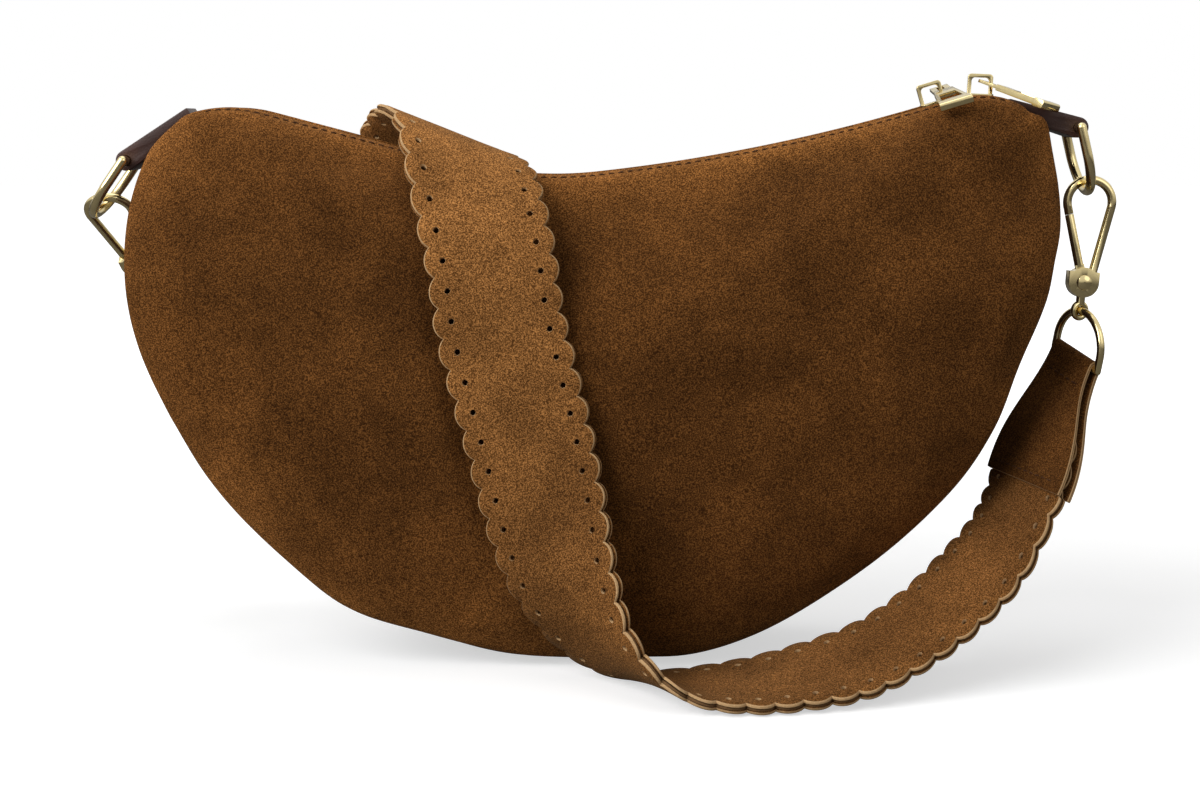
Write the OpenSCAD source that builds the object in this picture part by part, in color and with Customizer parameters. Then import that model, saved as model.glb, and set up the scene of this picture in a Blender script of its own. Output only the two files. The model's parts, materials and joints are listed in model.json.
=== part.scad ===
// Half moon shoulder bag: suede body, curved two-way zip, scalloped strap
// with a swivel trigger clasp at each end. X is the width, Y runs from the
// front (-) to the back (+), Z is up. The origin is the middle of the flat
// patch that the bag stands on.

/* [Body] */
// Width of the body, seam to seam
bag_w = 350; // [300:1:420]
// Height of the body, from the floor to the high end of the zip
bag_h = 216; // [180:1:260]
// Depth of the filled body at its middle
bag_d = 88; // [76:1:110]
// Distance between the two panels along the zip
mouth_w = 24; // [20:1:30]
// Width of the gusset along the bottom
gusset_w = 62; // [50:1:72]
// Thickness of the suede panels
panel_t = 2; // [1.4:0.1:3]
// Thickness of the gusset leather
gusset_t = 2; // [1.4:0.1:3]
// How far the gusset swells out past its two seams
gusset_crown = 3.2; // [2:0.1:5]
// Thickness of the lining cloth
lining_t = 0.8; // [0.5:0.1:1.2]
// Air between the lining and the panels
lining_gap = 1.2; // [0.8:0.1:2]

/* [Zip] */
// Thickness of the zip tape
tape_t = 0.8; // [0.5:0.1:1.2]
// How far the panel edges stand above the zip tape
seam_lip = 1.5; // [1:0.1:3]
// Distance from one tooth to the next on one tape
tooth_pitch = 3; // [2.4:0.1:4]
// Length of one tooth along the zip
tooth_l = 1.6; // [0.8:0.1:2]
// Width of one tooth across the zip
tooth_w = 2.4; // [2:0.1:2.8]
// Height of one tooth
tooth_h = 1.8; // [1.4:0.1:2.4]
// Space between the two rows of teeth, which the sliders' posts run in
row_gap = 0.9; // [0.8:0.1:1.2]
// Length of a slider
slider_l = 9.6; // [9:0.1:12]
// Width of a slider
slider_w = 8.6; // [8:0.1:10]
// Thickness of a slider's plates
slider_t = 1.1; // [0.8:0.1:1.4]
// Inner height of the bail over a slider
bail_h = 6.2; // [6:0.1:7]
// Thickness of the bail
bail_t = 1.4; // [1.2:0.1:1.5]

/* [Zip pulls] */
// Length of a zip pull
pull_l = 32; // [26:0.5:40]
// Width of a pull at its free end
pull_w = 12.6; // [10:0.1:16]
// Width of a pull at the bail
pull_neck_w = 7; // [6.6:0.1:9]
// Thickness of a pull at the bail
pull_t = 1.2; // [1:0.1:1.3]
// Thickness of the lip at a pull's free end
pull_lip_t = 3.2; // [2.4:0.1:4]

/* [Rings and tabs] */
// Thickness of the D-ring wire
ring_wire = 3.7; // [3:0.1:4.5]
// Inner width of the D-rings
ring_w = 25.4; // [22:0.1:32]
// Depth of a D-ring, from its bar to its bow
ring_depth = 25; // [20:0.5:32]
// Width of the end tabs
tab_w = 18; // [14:0.5:24]
// Thickness of the leather of the end tabs
tab_t = 2; // [1.4:0.1:3]

/* [Clasps] */
// Thickness of the clasp wire
clasp_wire = 3.4; // [2.8:0.1:4]
// Radius of the clasp's bow, to the middle of the wire
clasp_r = 8.6; // [7.5:0.1:10]
// Distance from the rivet to the middle of the bow
clasp_l = 31; // [26:0.5:36]
// Half width of the clasp's base
base_r = 5.8; // [5.2:0.1:7]
// Depth of the clasp's base, front to back
base_d = 6.8; // [6:0.1:8]
// Thickness of the gate's tongue inside the base
tongue_t = 1.7; // [1.4:0.1:1.8]
// Radius of the rivet's shank
rivet_r = 1; // [0.8:0.1:1.3]
// Radius of the rivet's heads
rivet_head_r = 2.9; // [2.2:0.1:3.4]
// Distance from the rivet down to the middle of the swivel eye
eye_drop = 11; // [10.4:0.1:13]
// Thickness of the swivel eye's wire
eye_wire = 2.4; // [2:0.1:3]
// Radius of the swivel stud's neck
neck_r = 1.7; // [1.4:0.1:2]

/* [Strap] */
// Width of the strap, over the scallops
strap_w = 49; // [44:0.5:54]
// Thickness of the strap, three layers together
strap_t = 3.6; // [3:0.1:4.2]
// Length of one scallop
scallop_pitch = 11; // [9:0.5:14]
// Depth of the notch between two scallops
scallop_depth = 2.7; // [1.6:0.1:3.4]
// Thickness of the strap loop's wire
loop_wire = 3; // [2.6:0.1:3.6]
// Inner width of the strap loops
loop_w = 25; // [22:0.5:30]
// Straight leg of a strap loop below its bow
loop_leg = 5; // [3:0.5:9]
// Thickness of one layer of the strap's end tabs
end_tab_t = 1.7; // [1.3:0.1:2.2]

/* [Hidden] */

// Named clearances
run_gap = 0.06;
swing_gap = 0.2;
seat_gap = 0.02;
weld = 0.3;

// Colours, as the photograph shows them
suede = [0.43, 0.28, 0.14];
dark_leather = [0.25, 0.15, 0.09];
gold = [0.88, 0.84, 0.68];
cloth = [0.35, 0.27, 0.2];

// The zip line: a chain of arcs. Each row is a length, as a share of the
// body's width, and the turn along it in degrees, left turns positive.
zip_shares = [[0.079, -31.7], [0.213, 0], [0.156, 20.8], [0.392, 11], [0.05, -27], [0.03, -22]];
zip_steps = [4, 4, 6, 8, 4, 2];
zip_start = [-0.869 * bag_w / 2, 0.9606 * bag_h];
zip_heading = 17;
zip_l = bag_w * total([for (r = zip_shares) r[0]]);

// The seam from the zip's right end down, along the bottom and up to its
// left end: shares of half the width and of the height.
seam_shares = [[0.965, 0.945], [0.99, 0.885], [0.998, 0.79], [0.975, 0.66],
  [0.915, 0.53], [0.865, 0.42], [0.78, 0.315], [0.65, 0.21], [0.50, 0.12],
  [0.36, 0.055], [0.22, 0.018], [0.08, 0.0125], [-0.08, 0.0125], [-0.20, 0.022],
  [-0.36, 0.055], [-0.53, 0.1], [-0.67, 0.19], [-0.80, 0.30], [-0.894, 0.42],
  [-0.972, 0.56], [-1, 0.69], [-0.996, 0.81], [-0.96, 0.895], [-0.90, 0.945]];
seam_steps = 2;
// The bulge of a panel: how far in from its edge, and how far out it stands
// there, next to the gusset and next to the zip
inset_shares = [0, 0.02, 0.06, 0.14, 0.28, 0.5, 0.75, 1];
bulge_shares = [0, 0.22, 0.42, 0.62, 0.80, 0.93, 0.985, 1];
mouth_bulge_shares = [0, 0.13, 0.27, 0.46, 0.68, 0.87, 0.97, 1];
// Height over which the gusset widens from the mouth to its full width
flare_h = 0.3 * bag_h;
panel_mid = [0, 0.5 * bag_h];

// Small helpers
function total(v, i = 0) = i < len(v) ? v[i] + total(v, i + 1) : 0;
function unit(v) = v / norm(v);
function smooth(t) = t <= 0 ? 0 : t >= 1 ? 1 : t * t * (3 - 2 * t);
function clampi(i, n) = max(0, min(n - 1, i));
function spline_at(p, i, t) =
  let (n = len(p), a = p[clampi(i - 1, n)], b = p[i], c = p[clampi(i + 1, n)], d = p[clampi(i + 2, n)])
  0.5 * (2 * b + (c - a) * t + (2 * a - 5 * b + 4 * c - d) * t * t
    + (3 * b - a - 3 * c + d) * t * t * t);
function spline(p, steps) =
  [for (i = [0 : len(p) - 2], k = [0 : steps - 1]) spline_at(p, i, k / steps), p[len(p) - 1]];

// One stretch of the zip line from [x, z, heading], with a length and turn
function walk(p, l, turn) =
  abs(turn) < 0.001
  ? [p[0] + l * cos(p[2]), p[1] + l * sin(p[2]), p[2]]
  : let (r = l / turn * 180 / PI)
    [p[0] + r * (sin(p[2] + turn) - sin(p[2])),
     p[1] - r * (cos(p[2] + turn) - cos(p[2])), p[2] + turn];
function zip_at(s, p = [zip_start[0], zip_start[1], zip_heading], i = 0) =
  let (l = zip_shares[i][0] * bag_w, turn = zip_shares[i][1])
  s <= l || i == len(zip_shares) - 1 ? walk(p, s, turn * s / l) : zip_at(s - l, walk(p, l, turn), i + 1);
function zip_run(i) = bag_w * total([for (k = [0 : 1 : i - 1]) zip_shares[k][0]]);
zip_line = concat([for (i = [0 : len(zip_shares) - 1], k = [0 : zip_steps[i] - 1])
  zip_at(zip_run(i) + k / zip_steps[i] * zip_shares[i][0] * bag_w)], [zip_at(zip_l)]);
zip_n = len(zip_line);
function lifted(p, h) = [p[0] - h * sin(p[2]), p[1] + h * cos(p[2])];

// The whole rim of a panel, anticlockwise seen from the back
seam_line = spline([for (s = seam_shares) [s[0] * bag_w / 2, s[1] * bag_h]], seam_steps);
rim = concat([for (p = zip_line) lifted(p, seam_lip)], seam_line);
rim_n = len(rim);
function edge_y(j) = j < zip_n ? mouth_w / 2
  : let (top = j < zip_n + len(seam_line) / 2 ? seam_line[0][1] : seam_line[len(seam_line) - 1][1])
    mouth_w / 2 + (gusset_w - mouth_w) / 2 * smooth((top - rim[j][1]) / flare_h);
// Point of the rim moved in towards the middle of the panel
function inward(j, d) = let (v = panel_mid - rim[j]) rim[j] + v * d / norm(v);

// One line of a panel's profile, from the rim to its middle: [inset, out]
function profile(j, first_in, first_out, depth) =
  let (r = norm(panel_mid - rim[j]))
  [for (i = [0 : len(inset_shares) - 1])
    [first_in + (r - first_in) * inset_shares[i], first_out + (depth - first_out) * bulge(j, i)]];
function bulge(j, i) = let (t = (edge_y(j) - mouth_w / 2) / (gusset_w - mouth_w) * 2)
  mouth_bulge_shares[i] + (bulge_shares[i] - mouth_bulge_shares[i]) * t;
function inner_profile(p, t) =
  [for (i = [0 : len(p) - 1])
    i == 0 ? [p[0][0] + t, p[0][1]]
    : i == len(p) - 1 ? [p[i][0], p[i][1] - t]
    : let (d = unit(p[i + 1] - p[i - 1])) [min(p[i][0] + t * d[1], p[len(p) - 1][0]), p[i][1] - t * d[0]]];

// A bulged shell between an outer and an inner profile, for the front
module bulged_shell(outers, inners, idx) {
  n = len(idx);
  m = len(outers[0]);
  function at(k, q) = let (w = inward(idx[k], q[0])) [w[0], -q[1], w[1]];
  pts = concat(
    [for (i = [0 : m - 2], k = [0 : n - 1]) at(k, outers[k][i])],
    [for (i = [0 : m - 2], k = [0 : n - 1]) at(k, inners[k][i])],
    [at(0, outers[0][m - 1]), at(0, inners[0][m - 1])]);
  half = (m - 1) * n;
  apex = 2 * half;
  function o(i, k) = i * n + (k % n);
  function q(i, k) = half + i * n + (k % n);
  faces = concat(
    [for (i = [0 : m - 3], k = [0 : n - 1]) [o(i, k), o(i, k + 1), o(i + 1, k)]],
    [for (i = [0 : m - 3], k = [0 : n - 1]) [o(i, k + 1), o(i + 1, k + 1), o(i + 1, k)]],
    [for (k = [0 : n - 1]) [o(m - 2, k), o(m - 2, k + 1), apex]],
    [for (i = [0 : m - 3], k = [0 : n - 1]) [q(i, k), q(i + 1, k), q(i, k + 1)]],
    [for (i = [0 : m - 3], k = [0 : n - 1]) [q(i, k + 1), q(i + 1, k), q(i + 1, k + 1)]],
    [for (k = [0 : n - 1]) [q(m - 2, k), apex + 1, q(m - 2, k + 1)]],
    [for (k = [0 : n - 1]) [o(0, k), q(0, k), o(0, k + 1)]],
    [for (k = [0 : n - 1]) [o(0, k + 1), q(0, k), q(0, k + 1)]]);
  polyhedron(pts, faces, convexity = 6);
}

all_rim = [for (j = [0 : rim_n - 1]) j];
module panel_shape() {
  outers = [for (j = all_rim) profile(j, 0, edge_y(j), bag_d / 2)];
  inners = [for (p = outers) inner_profile(p, panel_t)];
  bulged_shell(outers, inners, all_rim);
}

// A closed tube of sections, each a list of points of the same length
module sections_solid(secs) {
  n = len(secs[0]);
  m = len(secs);
  pts = [for (s = secs) each s];
  sides = [for (i = [0 : m - 2], k = [0 : n - 1])
    each [[i * n + k, i * n + (k + 1) % n, (i + 1) * n + k],
          [i * n + (k + 1) % n, (i + 1) * n + (k + 1) % n, (i + 1) * n + k]]];
  last = (m - 1) * n;
  ends = [for (k = [0 : n / 2 - 2])
    each [[k, n - 1 - k, k + 1], [k + 1, n - 1 - k, n - 2 - k],
          [last + k, last + k + 1, last + n - 1 - k], [last + k + 1, last + n - 2 - k, last + n - 1 - k]]];
  polyhedron(pts, concat(sides, ends), convexity = 10);
}

// Gusset: a strip from one end of the zip round the bottom to the other
cross_shares = [-1, -0.6, 0.6, 1];
gusset_first = zip_n;
function outward(j) =
  let (a = rim[clampi(j - 1, rim_n)], b = rim[clampi(j + 1, rim_n)], d = unit(b - a)) [-d[1], d[0]];
function crown_at(e) = gusset_crown * smooth((e - mouth_w / 2) / (gusset_w - mouth_w) * 2);
function gusset_point(j, share, inset) =
  let (e = edge_y(j), c = abs(share) < 1 ? crown_at(e) : 0,
       w = abs(share) < 1 ? inward(j, inset) + outward(j) * c : inward(j, inset))
  [w[0], share * e, w[1]];
function gusset_section(j) = concat(
  [for (s = cross_shares) gusset_point(j, s, 0)],
  [for (i = [len(cross_shares) - 1 : -1 : 0]) gusset_point(j, cross_shares[i], gusset_t)]);

module front_panel() color(suede) panel_shape();
module back_panel() color(suede) mirror([0, 1, 0]) panel_shape();
module gusset() color(dark_leather) difference() {
  sections_solid([for (j = [gusset_first : rim_n - 1]) gusset_section(j)]);
  translate([-bag_w, -bag_d, -bag_h]) cube([2 * bag_w, 2 * bag_d, bag_h]);
}

// Lining: a thin front, back and band inside the body, closed under the tapes
function lining_in(j) = j < zip_n
  ? (seam_lip + tape_t + 3 * swing_gap) / max(0.3, -unit(panel_mid - rim[j]) * zip_up(j))
  : gusset_t + lining_gap;
function zip_up(j) = [-sin(zip_line[j][2]), cos(zip_line[j][2])];
lining_edge = panel_t;
lining_rim = [for (j = all_rim) if (j < zip_n || j % 2 == zip_n % 2 || j == rim_n - 1) j];
lining_n = len(lining_rim);
function lining_profile(j, t) =
  let (p = inner_profile(profile(j, 0, edge_y(j), bag_d / 2), panel_t + lining_gap + t))
  concat([[lining_in(j) + (j < zip_n ? 0 : t), edge_y(j) - lining_edge - t]],
    [for (i = [1 : 2 : len(p) - 1]) p[i]]);
module lining_shell() {
  n = lining_n;
  profiles = [for (t = [0, lining_t]) [for (j = lining_rim) lining_profile(j, t)]];
  m = len(profiles[0][0]);
  layer = (m - 1) * n + 1;
  function at(side, t, k, i) = let (q = profiles[t][k][i], w = inward(lining_rim[k], q[0]))
    [w[0], side * q[1], w[1]];
  pts = [for (side = [-1, 1], t = [0, 1]) each concat(
    [for (i = [0 : m - 2], k = [0 : n - 1]) at(side, t, k, i)], [at(side, t, 0, m - 1)])];
  function id(a, i, k) = a * layer + (i == m - 1 ? layer - 1 : i * n + k % n);
  // a counts the layers: front outside, front inside, back outside, back inside
  function turned(a, f) = a == 0 || a == 3 ? f : [f[0], f[2], f[1]];
  skins = [for (a = [0 : 3], i = [0 : m - 2], k = [0 : n - 1]) each (i == m - 2)
    ? [turned(a, [id(a, i, k), id(a, i, k + 1), id(a, i + 1, k)])]
    : [turned(a, [id(a, i, k), id(a, i, k + 1), id(a, i + 1, k)]),
       turned(a, [id(a, i, k + 1), id(a, i + 1, k + 1), id(a, i + 1, k)])]];
  mouth = [for (a = [0, 2], k = [n - 1 : n - 1 + zip_n]) let (c = k % n, d = (k + 1) % n) each
    [turned(2 - a, [id(a, 0, c), id(a, 0, d), id(a + 1, 0, c)]),
     turned(2 - a, [id(a, 0, d), id(a + 1, 0, d), id(a + 1, 0, c)])]];
  band = [for (a = [0, 1], k = [zip_n : n - 2]) each
    [turned(1 - a, [id(a, 0, k), id(a, 0, k + 1), id(a + 2, 0, k)]),
     turned(1 - a, [id(a, 0, k + 1), id(a + 2, 0, k + 1), id(a + 2, 0, k)])]];
  ends = [for (e = [[0, zip_n], [1, n - 1]]) each
    [turned(e[0], [id(0, 0, e[1]), id(1, 0, e[1]), id(3, 0, e[1])]),
     turned(e[0], [id(0, 0, e[1]), id(3, 0, e[1]), id(2, 0, e[1])])]];
  polyhedron(pts, concat(skins, mouth, band, ends), convexity = 10);
}
module lining() color(cloth) lining_shell();

// Zip: two tapes, two rows of teeth, end stops
tape_mid = -tape_t / 2;
row_out = row_gap / 2 + tooth_w;
module at_zip(s, h = 0) {
  p = zip_at(s);
  translate([p[0], 0, p[1]]) rotate([0, -p[2], 0]) translate([0, 0, h]) children();
}
function tape_section(p) = let (a = lifted(p, 0), b = lifted(p, -tape_t))
  [[a[0], -mouth_w / 2, a[1]], [a[0], -row_out, a[1]], [b[0], -row_out, b[1]], [b[0], -mouth_w / 2, b[1]]];
module zip_tape_front() color(dark_leather) sections_solid([for (p = zip_line) tape_section(p)]);
module zip_tape_back() mirror([0, 1, 0]) zip_tape_front();
first_tooth = 2 * tooth_pitch;
last_tooth = zip_run(5) - tooth_pitch / 2;
module teeth_row(shift) color(gold)
  for (s = [first_tooth + shift : tooth_pitch : last_tooth])
    at_zip(s, tape_mid) translate([-tooth_l / 2, -row_out, -tooth_h / 2]) cube([tooth_l, tooth_w, tooth_h]);
module zip_teeth_front() teeth_row(0);
module zip_teeth_back() mirror([0, 1, 0]) teeth_row(tooth_pitch / 2);
stop_l = 2 * tooth_l;
module zip_end_stops() color(gold)
  for (s = [first_tooth - stop_l, zip_run(5) + stop_l])
    at_zip(s) translate([-stop_l / 2, -row_out, 0]) cube([stop_l, 2 * row_out, tooth_h / 2]);

// Sliders: two plates joined by a post between the rows of teeth, and a bail
channel_w = row_out + swing_gap;
channel_h = tooth_h / 2 + 2 * swing_gap;
slot_h = tape_t / 2 + 1.5 * swing_gap;
plate_top = channel_h + slider_t;
flange_h = channel_h - slot_h;
post_t = row_gap - 2 * swing_gap;
bail_leg_x = slider_l / 2 - bail_t / 2;
bail_round = bail_t;
slider_right_s = zip_run(5) - slider_l / 2;
slider_left_s = zip_run(4) - slider_l / 2;
module rounded_box_2d(w, h, r) {
  translate([-w / 2 + r, -h / 2]) square([w - 2 * r, h]);
  translate([-w / 2, -h / 2 + r]) square([w, h - 2 * r]);
  for (x = [-1, 1], y = [-1, 1]) translate([x * (w / 2 - r), y * (h / 2 - r)]) circle(r, $fn = 32);
}
module slider() color(gold) {
  for (side = [-1, 1]) mirror([0, 0, side < 0 ? 1 : 0]) {
    translate([0, 0, channel_h]) linear_extrude(slider_t) rounded_box_2d(slider_l, slider_w, slider_t);
    for (y = [-1, 1]) translate([0, y * (slider_w / 2 + channel_w) / 2, slot_h]) linear_extrude(flange_h)
      square([slider_l - 2 * slider_t, slider_w / 2 - channel_w], center = true);
  }
  cube([slider_l - 2 * slider_t, post_t, 2 * channel_h], center = true);
  translate([0, bail_t / 2, plate_top]) rotate([90, 0, 0]) linear_extrude(bail_t) difference() {
    translate([0, (bail_h + bail_t) / 2 - bail_round / 2])
      rounded_box_2d(slider_l, bail_h + bail_t + bail_round, bail_round);
    translate([0, (bail_h - bail_round) / 2 - bail_round / 2])
      rounded_box_2d(slider_l - 2 * bail_t, bail_h + 2 * bail_round, bail_round);
    translate([-slider_l, -2 * bail_round]) square([2 * slider_l, 2 * bail_round]);
  }
}
module slider_left() at_zip(slider_left_s, tape_mid) slider();
module slider_right() at_zip(slider_right_s, tape_mid) slider();

// Pulls: a tapered plate with a long hole at the bail and a window
pull_axis_h = plate_top + 0.6 * bail_h;
hole_near = 1.35 * bail_t;
hole_far = 2.4 * bail_t;
hole_half_w = 0.95 * bail_t;
pull_bar = 0.24 * pull_neck_w;
pull_head = hole_near + pull_bar;
pull_slope_angle_left = 12;
pull_slope_angle_right = 16;
pull_roll_angle_right = -6;
pull_yaw_angle_left = -90;
pull_yaw_angle_right = -44;
lip_l = 0.16 * pull_l;
window_l = 0.3 * pull_l;
module pull_outline(shrink = 0) polygon([
  [-pull_head + shrink, -pull_neck_w / 2 + shrink], [hole_far, -pull_neck_w / 2 + shrink],
  [pull_l - pull_head - shrink, -pull_w / 2 + shrink], [pull_l - pull_head - shrink, pull_w / 2 - shrink],
  [hole_far, pull_neck_w / 2 - shrink], [-pull_head + shrink, pull_neck_w / 2 - shrink]]);
module pull() color(gold) difference() {
  union() {
    translate([0, 0, -pull_t / 2]) linear_extrude(pull_t) pull_outline();
    intersection() {
      translate([0, 0, -pull_lip_t / 2]) linear_extrude(pull_lip_t) pull_outline();
      translate([pull_l - pull_head - lip_l / 2, 0, 0]) rotate([90, 0, 0])
        linear_extrude(2 * pull_w, center = true) rounded_box_2d(lip_l, pull_lip_t, pull_lip_t / 3);
    }
    intersection() {
      translate([0, 0, -pull_t]) linear_extrude(2 * pull_t) pull_outline();
      translate([hole_far + pull_bar, -pull_w, -pull_t])
        cube([pull_l - lip_l - 2 * pull_head, 2 * pull_w, 2 * pull_t]);
    }
  }
  translate([-hole_near, -hole_half_w, -pull_lip_t])
    cube([hole_near + hole_far, 2 * hole_half_w, 2 * pull_lip_t]);
  translate([pull_l - pull_head - lip_l - pull_bar - window_l, 0, -pull_lip_t])
    linear_extrude(2 * pull_lip_t)
    polygon([[0, -pull_w / 4], [window_l, -0.33 * pull_w], [window_l, 0.33 * pull_w], [0, pull_w / 4]]);
}
module pull_at(yaw, slope, roll) translate([bail_leg_x, 0, pull_axis_h]) rotate([0, 0, yaw])
  rotate([0, slope, 0]) rotate([roll, 0, 0]) pull();
module pull_left() at_zip(slider_left_s, tape_mid) pull_at(pull_yaw_angle_left, pull_slope_angle_left, 0);
module pull_right() at_zip(slider_right_s, tape_mid)
  pull_at(pull_yaw_angle_right, pull_slope_angle_right, pull_roll_angle_right);

// D-shaped wire, its bar on the Y axis and its bow towards +Z
module wire_d(w, wire, leg) {
  h = (w + wire) / 2;
  rotate([90, 0, 0]) cylinder(h = 2 * h, d = wire, center = true, $fn = 48);
  for (y = [-h, h]) translate([0, y, 0]) {
    sphere(d = wire, $fn = 48);
    cylinder(h = leg, d = wire, $fn = 48);
  }
  translate([0, 0, leg]) rotate([90, 0, 90])
    rotate_extrude(angle = 180, $fn = 96) translate([h, 0]) circle(d = wire, $fn = 48);
}

// End tabs and D-rings. Places of the rings' bars, as shares of the body
bar_left_shares = [-0.508, 0.884];
bar_right_shares = [0.5274, 0.942];
bar_left = [bar_left_shares[0] * bag_w, bar_left_shares[1] * bag_h];
bar_right = [bar_right_shares[0] * bag_w, bar_right_shares[1] * bag_h];
ring_angle_left = 35;
ring_angle_right = -14;
ring_leg = ring_depth - (ring_w + ring_wire) / 2;
fold_r = ring_wire / 2 + run_gap + tab_t;
fold_angle = 12;
tab_root_right = zip_at(zip_run(5) + 1.6 * stop_l);
tab_root_left = zip_at(0);
gusset_line = [for (j = [gusset_first : rim_n - 1]) let (w = gusset_point(j, 0, 0)) [w[0], w[2]]];
module end_tab(root, bar) color(dark_leather) {
  d = unit(bar - root);
  side = [-d[1], d[0]];
  rotate([90, 0, 0]) linear_extrude(tab_w, center = true) difference() {
    polygon(concat([root + side * tab_t],
      [for (a = [90 : -fold_angle : -90]) bar + fold_r * (cos(a) * d + sin(a) * side)],
      [root - 2 * side * tab_t]));
    translate(bar) circle(ring_wire / 2 + run_gap, $fn = 64);
    polygon(concat([for (p = zip_line) lifted(p, 0)], gusset_line));
  }
}
module end_tab_left() end_tab(tab_root_left, bar_left);
module end_tab_right() end_tab(tab_root_right, bar_right);
module d_ring(bar, lean) color(gold)
  translate([bar[0], 0, bar[1]]) rotate([0, 180 + lean, 0]) wire_d(ring_w, ring_wire, ring_leg);
module d_ring_left() d_ring(bar_left, ring_angle_left);
module d_ring_right() d_ring(bar_right, ring_angle_right);

// Strap loops. Each hangs from its D-ring's bar by the length of ring, clasp
// and loop. Then the yaw of the bar, its dip, the lean of the clasp across the
// loop and its tilt.
hang_left = [-0.05497, 0.5814, -0.66537];
hang_right = [0.03922, -0.00317, -0.94366];
loop_r = (loop_w + loop_wire) / 2;
chain_l = ring_depth + clasp_r + clasp_l + eye_drop + loop_r + loop_leg;
loop_bar_left = [bar_left[0], 0, bar_left[1]] + chain_l * hang_left;
loop_bar_right = [bar_right[0], 0, bar_right[1]] + chain_l * hang_right;
loop_angles_left = [90, -25, -46.6, -8.6];
loop_angles_right = [-66.4, 16, 0, -4.4];
eye_hole_r = loop_wire / 2 + run_gap;
eye_r = eye_hole_r + eye_wire / 2;
module at_loop(bar, turn) translate(bar) rotate([0, 0, turn[0]]) rotate([0, turn[1], 0]) children();
module at_eye(bar, turn) at_loop(bar, turn) translate([0, 0, loop_leg])
  rotate([0, turn[2] - turn[1], 0]) translate([0, 0, loop_r]) rotate([turn[3], 0, 0]) children();
module at_clasp(bar, turn, spin) at_eye(bar, turn) rotate([0, 0, spin]) translate([0, 0, eye_drop]) children();
spin_left = 90;
spin_right = 66.4;
module strap_loop() color(gold) rotate([0, 0, -90]) wire_d(loop_w, loop_wire, loop_leg);
module strap_loop_left() at_loop(loop_bar_left, loop_angles_left) strap_loop();
module strap_loop_right() at_loop(loop_bar_right, loop_angles_right) strap_loop();

// Swivel stud: an eye round the loop, a neck and a head inside the base
stud_head_r = 0.4 * base_r;
stud_head_t = 0.9;
stud_head_z = -0.69 * base_r;
module swivel_stud() color(gold) {
  rotate([0, 90, 0]) rotate_extrude($fn = 64) translate([eye_r, 0]) circle(d = eye_wire, $fn = 32);
  translate([0, 0, eye_r])
    cylinder(h = eye_drop + stud_head_z - eye_r + stud_head_t / 2, r = neck_r, $fn = 48);
  translate([0, 0, eye_drop + stud_head_z]) cylinder(h = stud_head_t, r = stud_head_r, $fn = 48);
}
module swivel_stud_left() at_eye(loop_bar_left, loop_angles_left) swivel_stud();
module swivel_stud_right() at_eye(loop_bar_right, loop_angles_right) swivel_stud();

// Clasp frame: base, straight arm, bow and nose; the rivet is at the origin
gate_lean = asin(clasp_r / clasp_l);
arm_x = base_r / 2;
arm_lean = asin(clasp_r / norm([arm_x, clasp_l])) - atan(arm_x / clasp_l);
arm_l = sqrt(arm_x * arm_x + clasp_l * clasp_l - clasp_r * clasp_r);
tangent_l = clasp_l * cos(gate_lean);
nose_l = 0.1 * clasp_l;
gate_tip_r = tangent_l - nose_l;
gate_swing = 14;
tongue_r = 0.45 * base_r;
slot_d = 0.5 * base_d;
tongue_y = -(slot_d - swing_gap - tongue_t) / 2;
base_top = 0.72 * base_r;
tongue_top = 1.2 * base_r;
module along_gate(a = 0) rotate([0, -gate_lean + a, 0]) children();
module gate_slot_2d(extra) {
  circle(tongue_r + extra, $fn = 48);
  for (a = [0, gate_swing]) rotate(gate_lean - a)
    translate([-clasp_wire / 2 - extra, 0]) square([clasp_wire + 2 * extra, 2 * base_r]);
  polygon([[0, 0], [-2 * base_r * sin(gate_lean), 2 * base_r * cos(gate_lean)],
    [2 * base_r * sin(gate_swing - gate_lean), 2 * base_r * cos(gate_swing - gate_lean)]]);
}
arm_wire = clasp_wire - seat_gap;
bow_angle = 180 + arm_lean + gate_lean;
module clasp_frame() color(gold) difference() {
  union() {
    rotate([90, 0, 0]) linear_extrude(base_d, center = true) {
      circle(base_r, $fn = 64);
      translate([-base_r, 0]) square([2 * base_r, base_top]);
    }
    translate([arm_x, 0, 0]) rotate([0, arm_lean, 0]) cylinder(h = arm_l + weld, d = arm_wire, $fn = 48);
    translate([0, 0, clasp_l]) rotate([90, 0, 0]) rotate([0, 0, -arm_lean])
      rotate_extrude(angle = bow_angle, $fn = 96) translate([clasp_r, 0]) circle(d = clasp_wire, $fn = 48);
    difference() {
      along_gate() translate([0, 0, gate_tip_r - nose_l])
        cylinder(h = 2 * nose_l + weld, d = arm_wire, $fn = 48);
      rotate([90, 0, 0]) cylinder(h = 2 * clasp_wire, r = gate_tip_r + swing_gap, center = true, $fn = 192);
    }
  }
  rotate([90, 0, 0]) linear_extrude(slot_d, center = true) gate_slot_2d(swing_gap / 2);
  rotate([90, 0, 0]) cylinder(h = 2 * base_d, r = rivet_r, center = true, $fn = 48);
  translate([0, 0, -2 * base_r])
    cylinder(h = 2 * base_r + stud_head_z + stud_head_t, r = neck_r + run_gap, $fn = 48);
  translate([0, 0, stud_head_z - run_gap])
    cylinder(h = stud_head_t + 2 * run_gap, r = stud_head_r + run_gap, $fn = 48);
}
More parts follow.
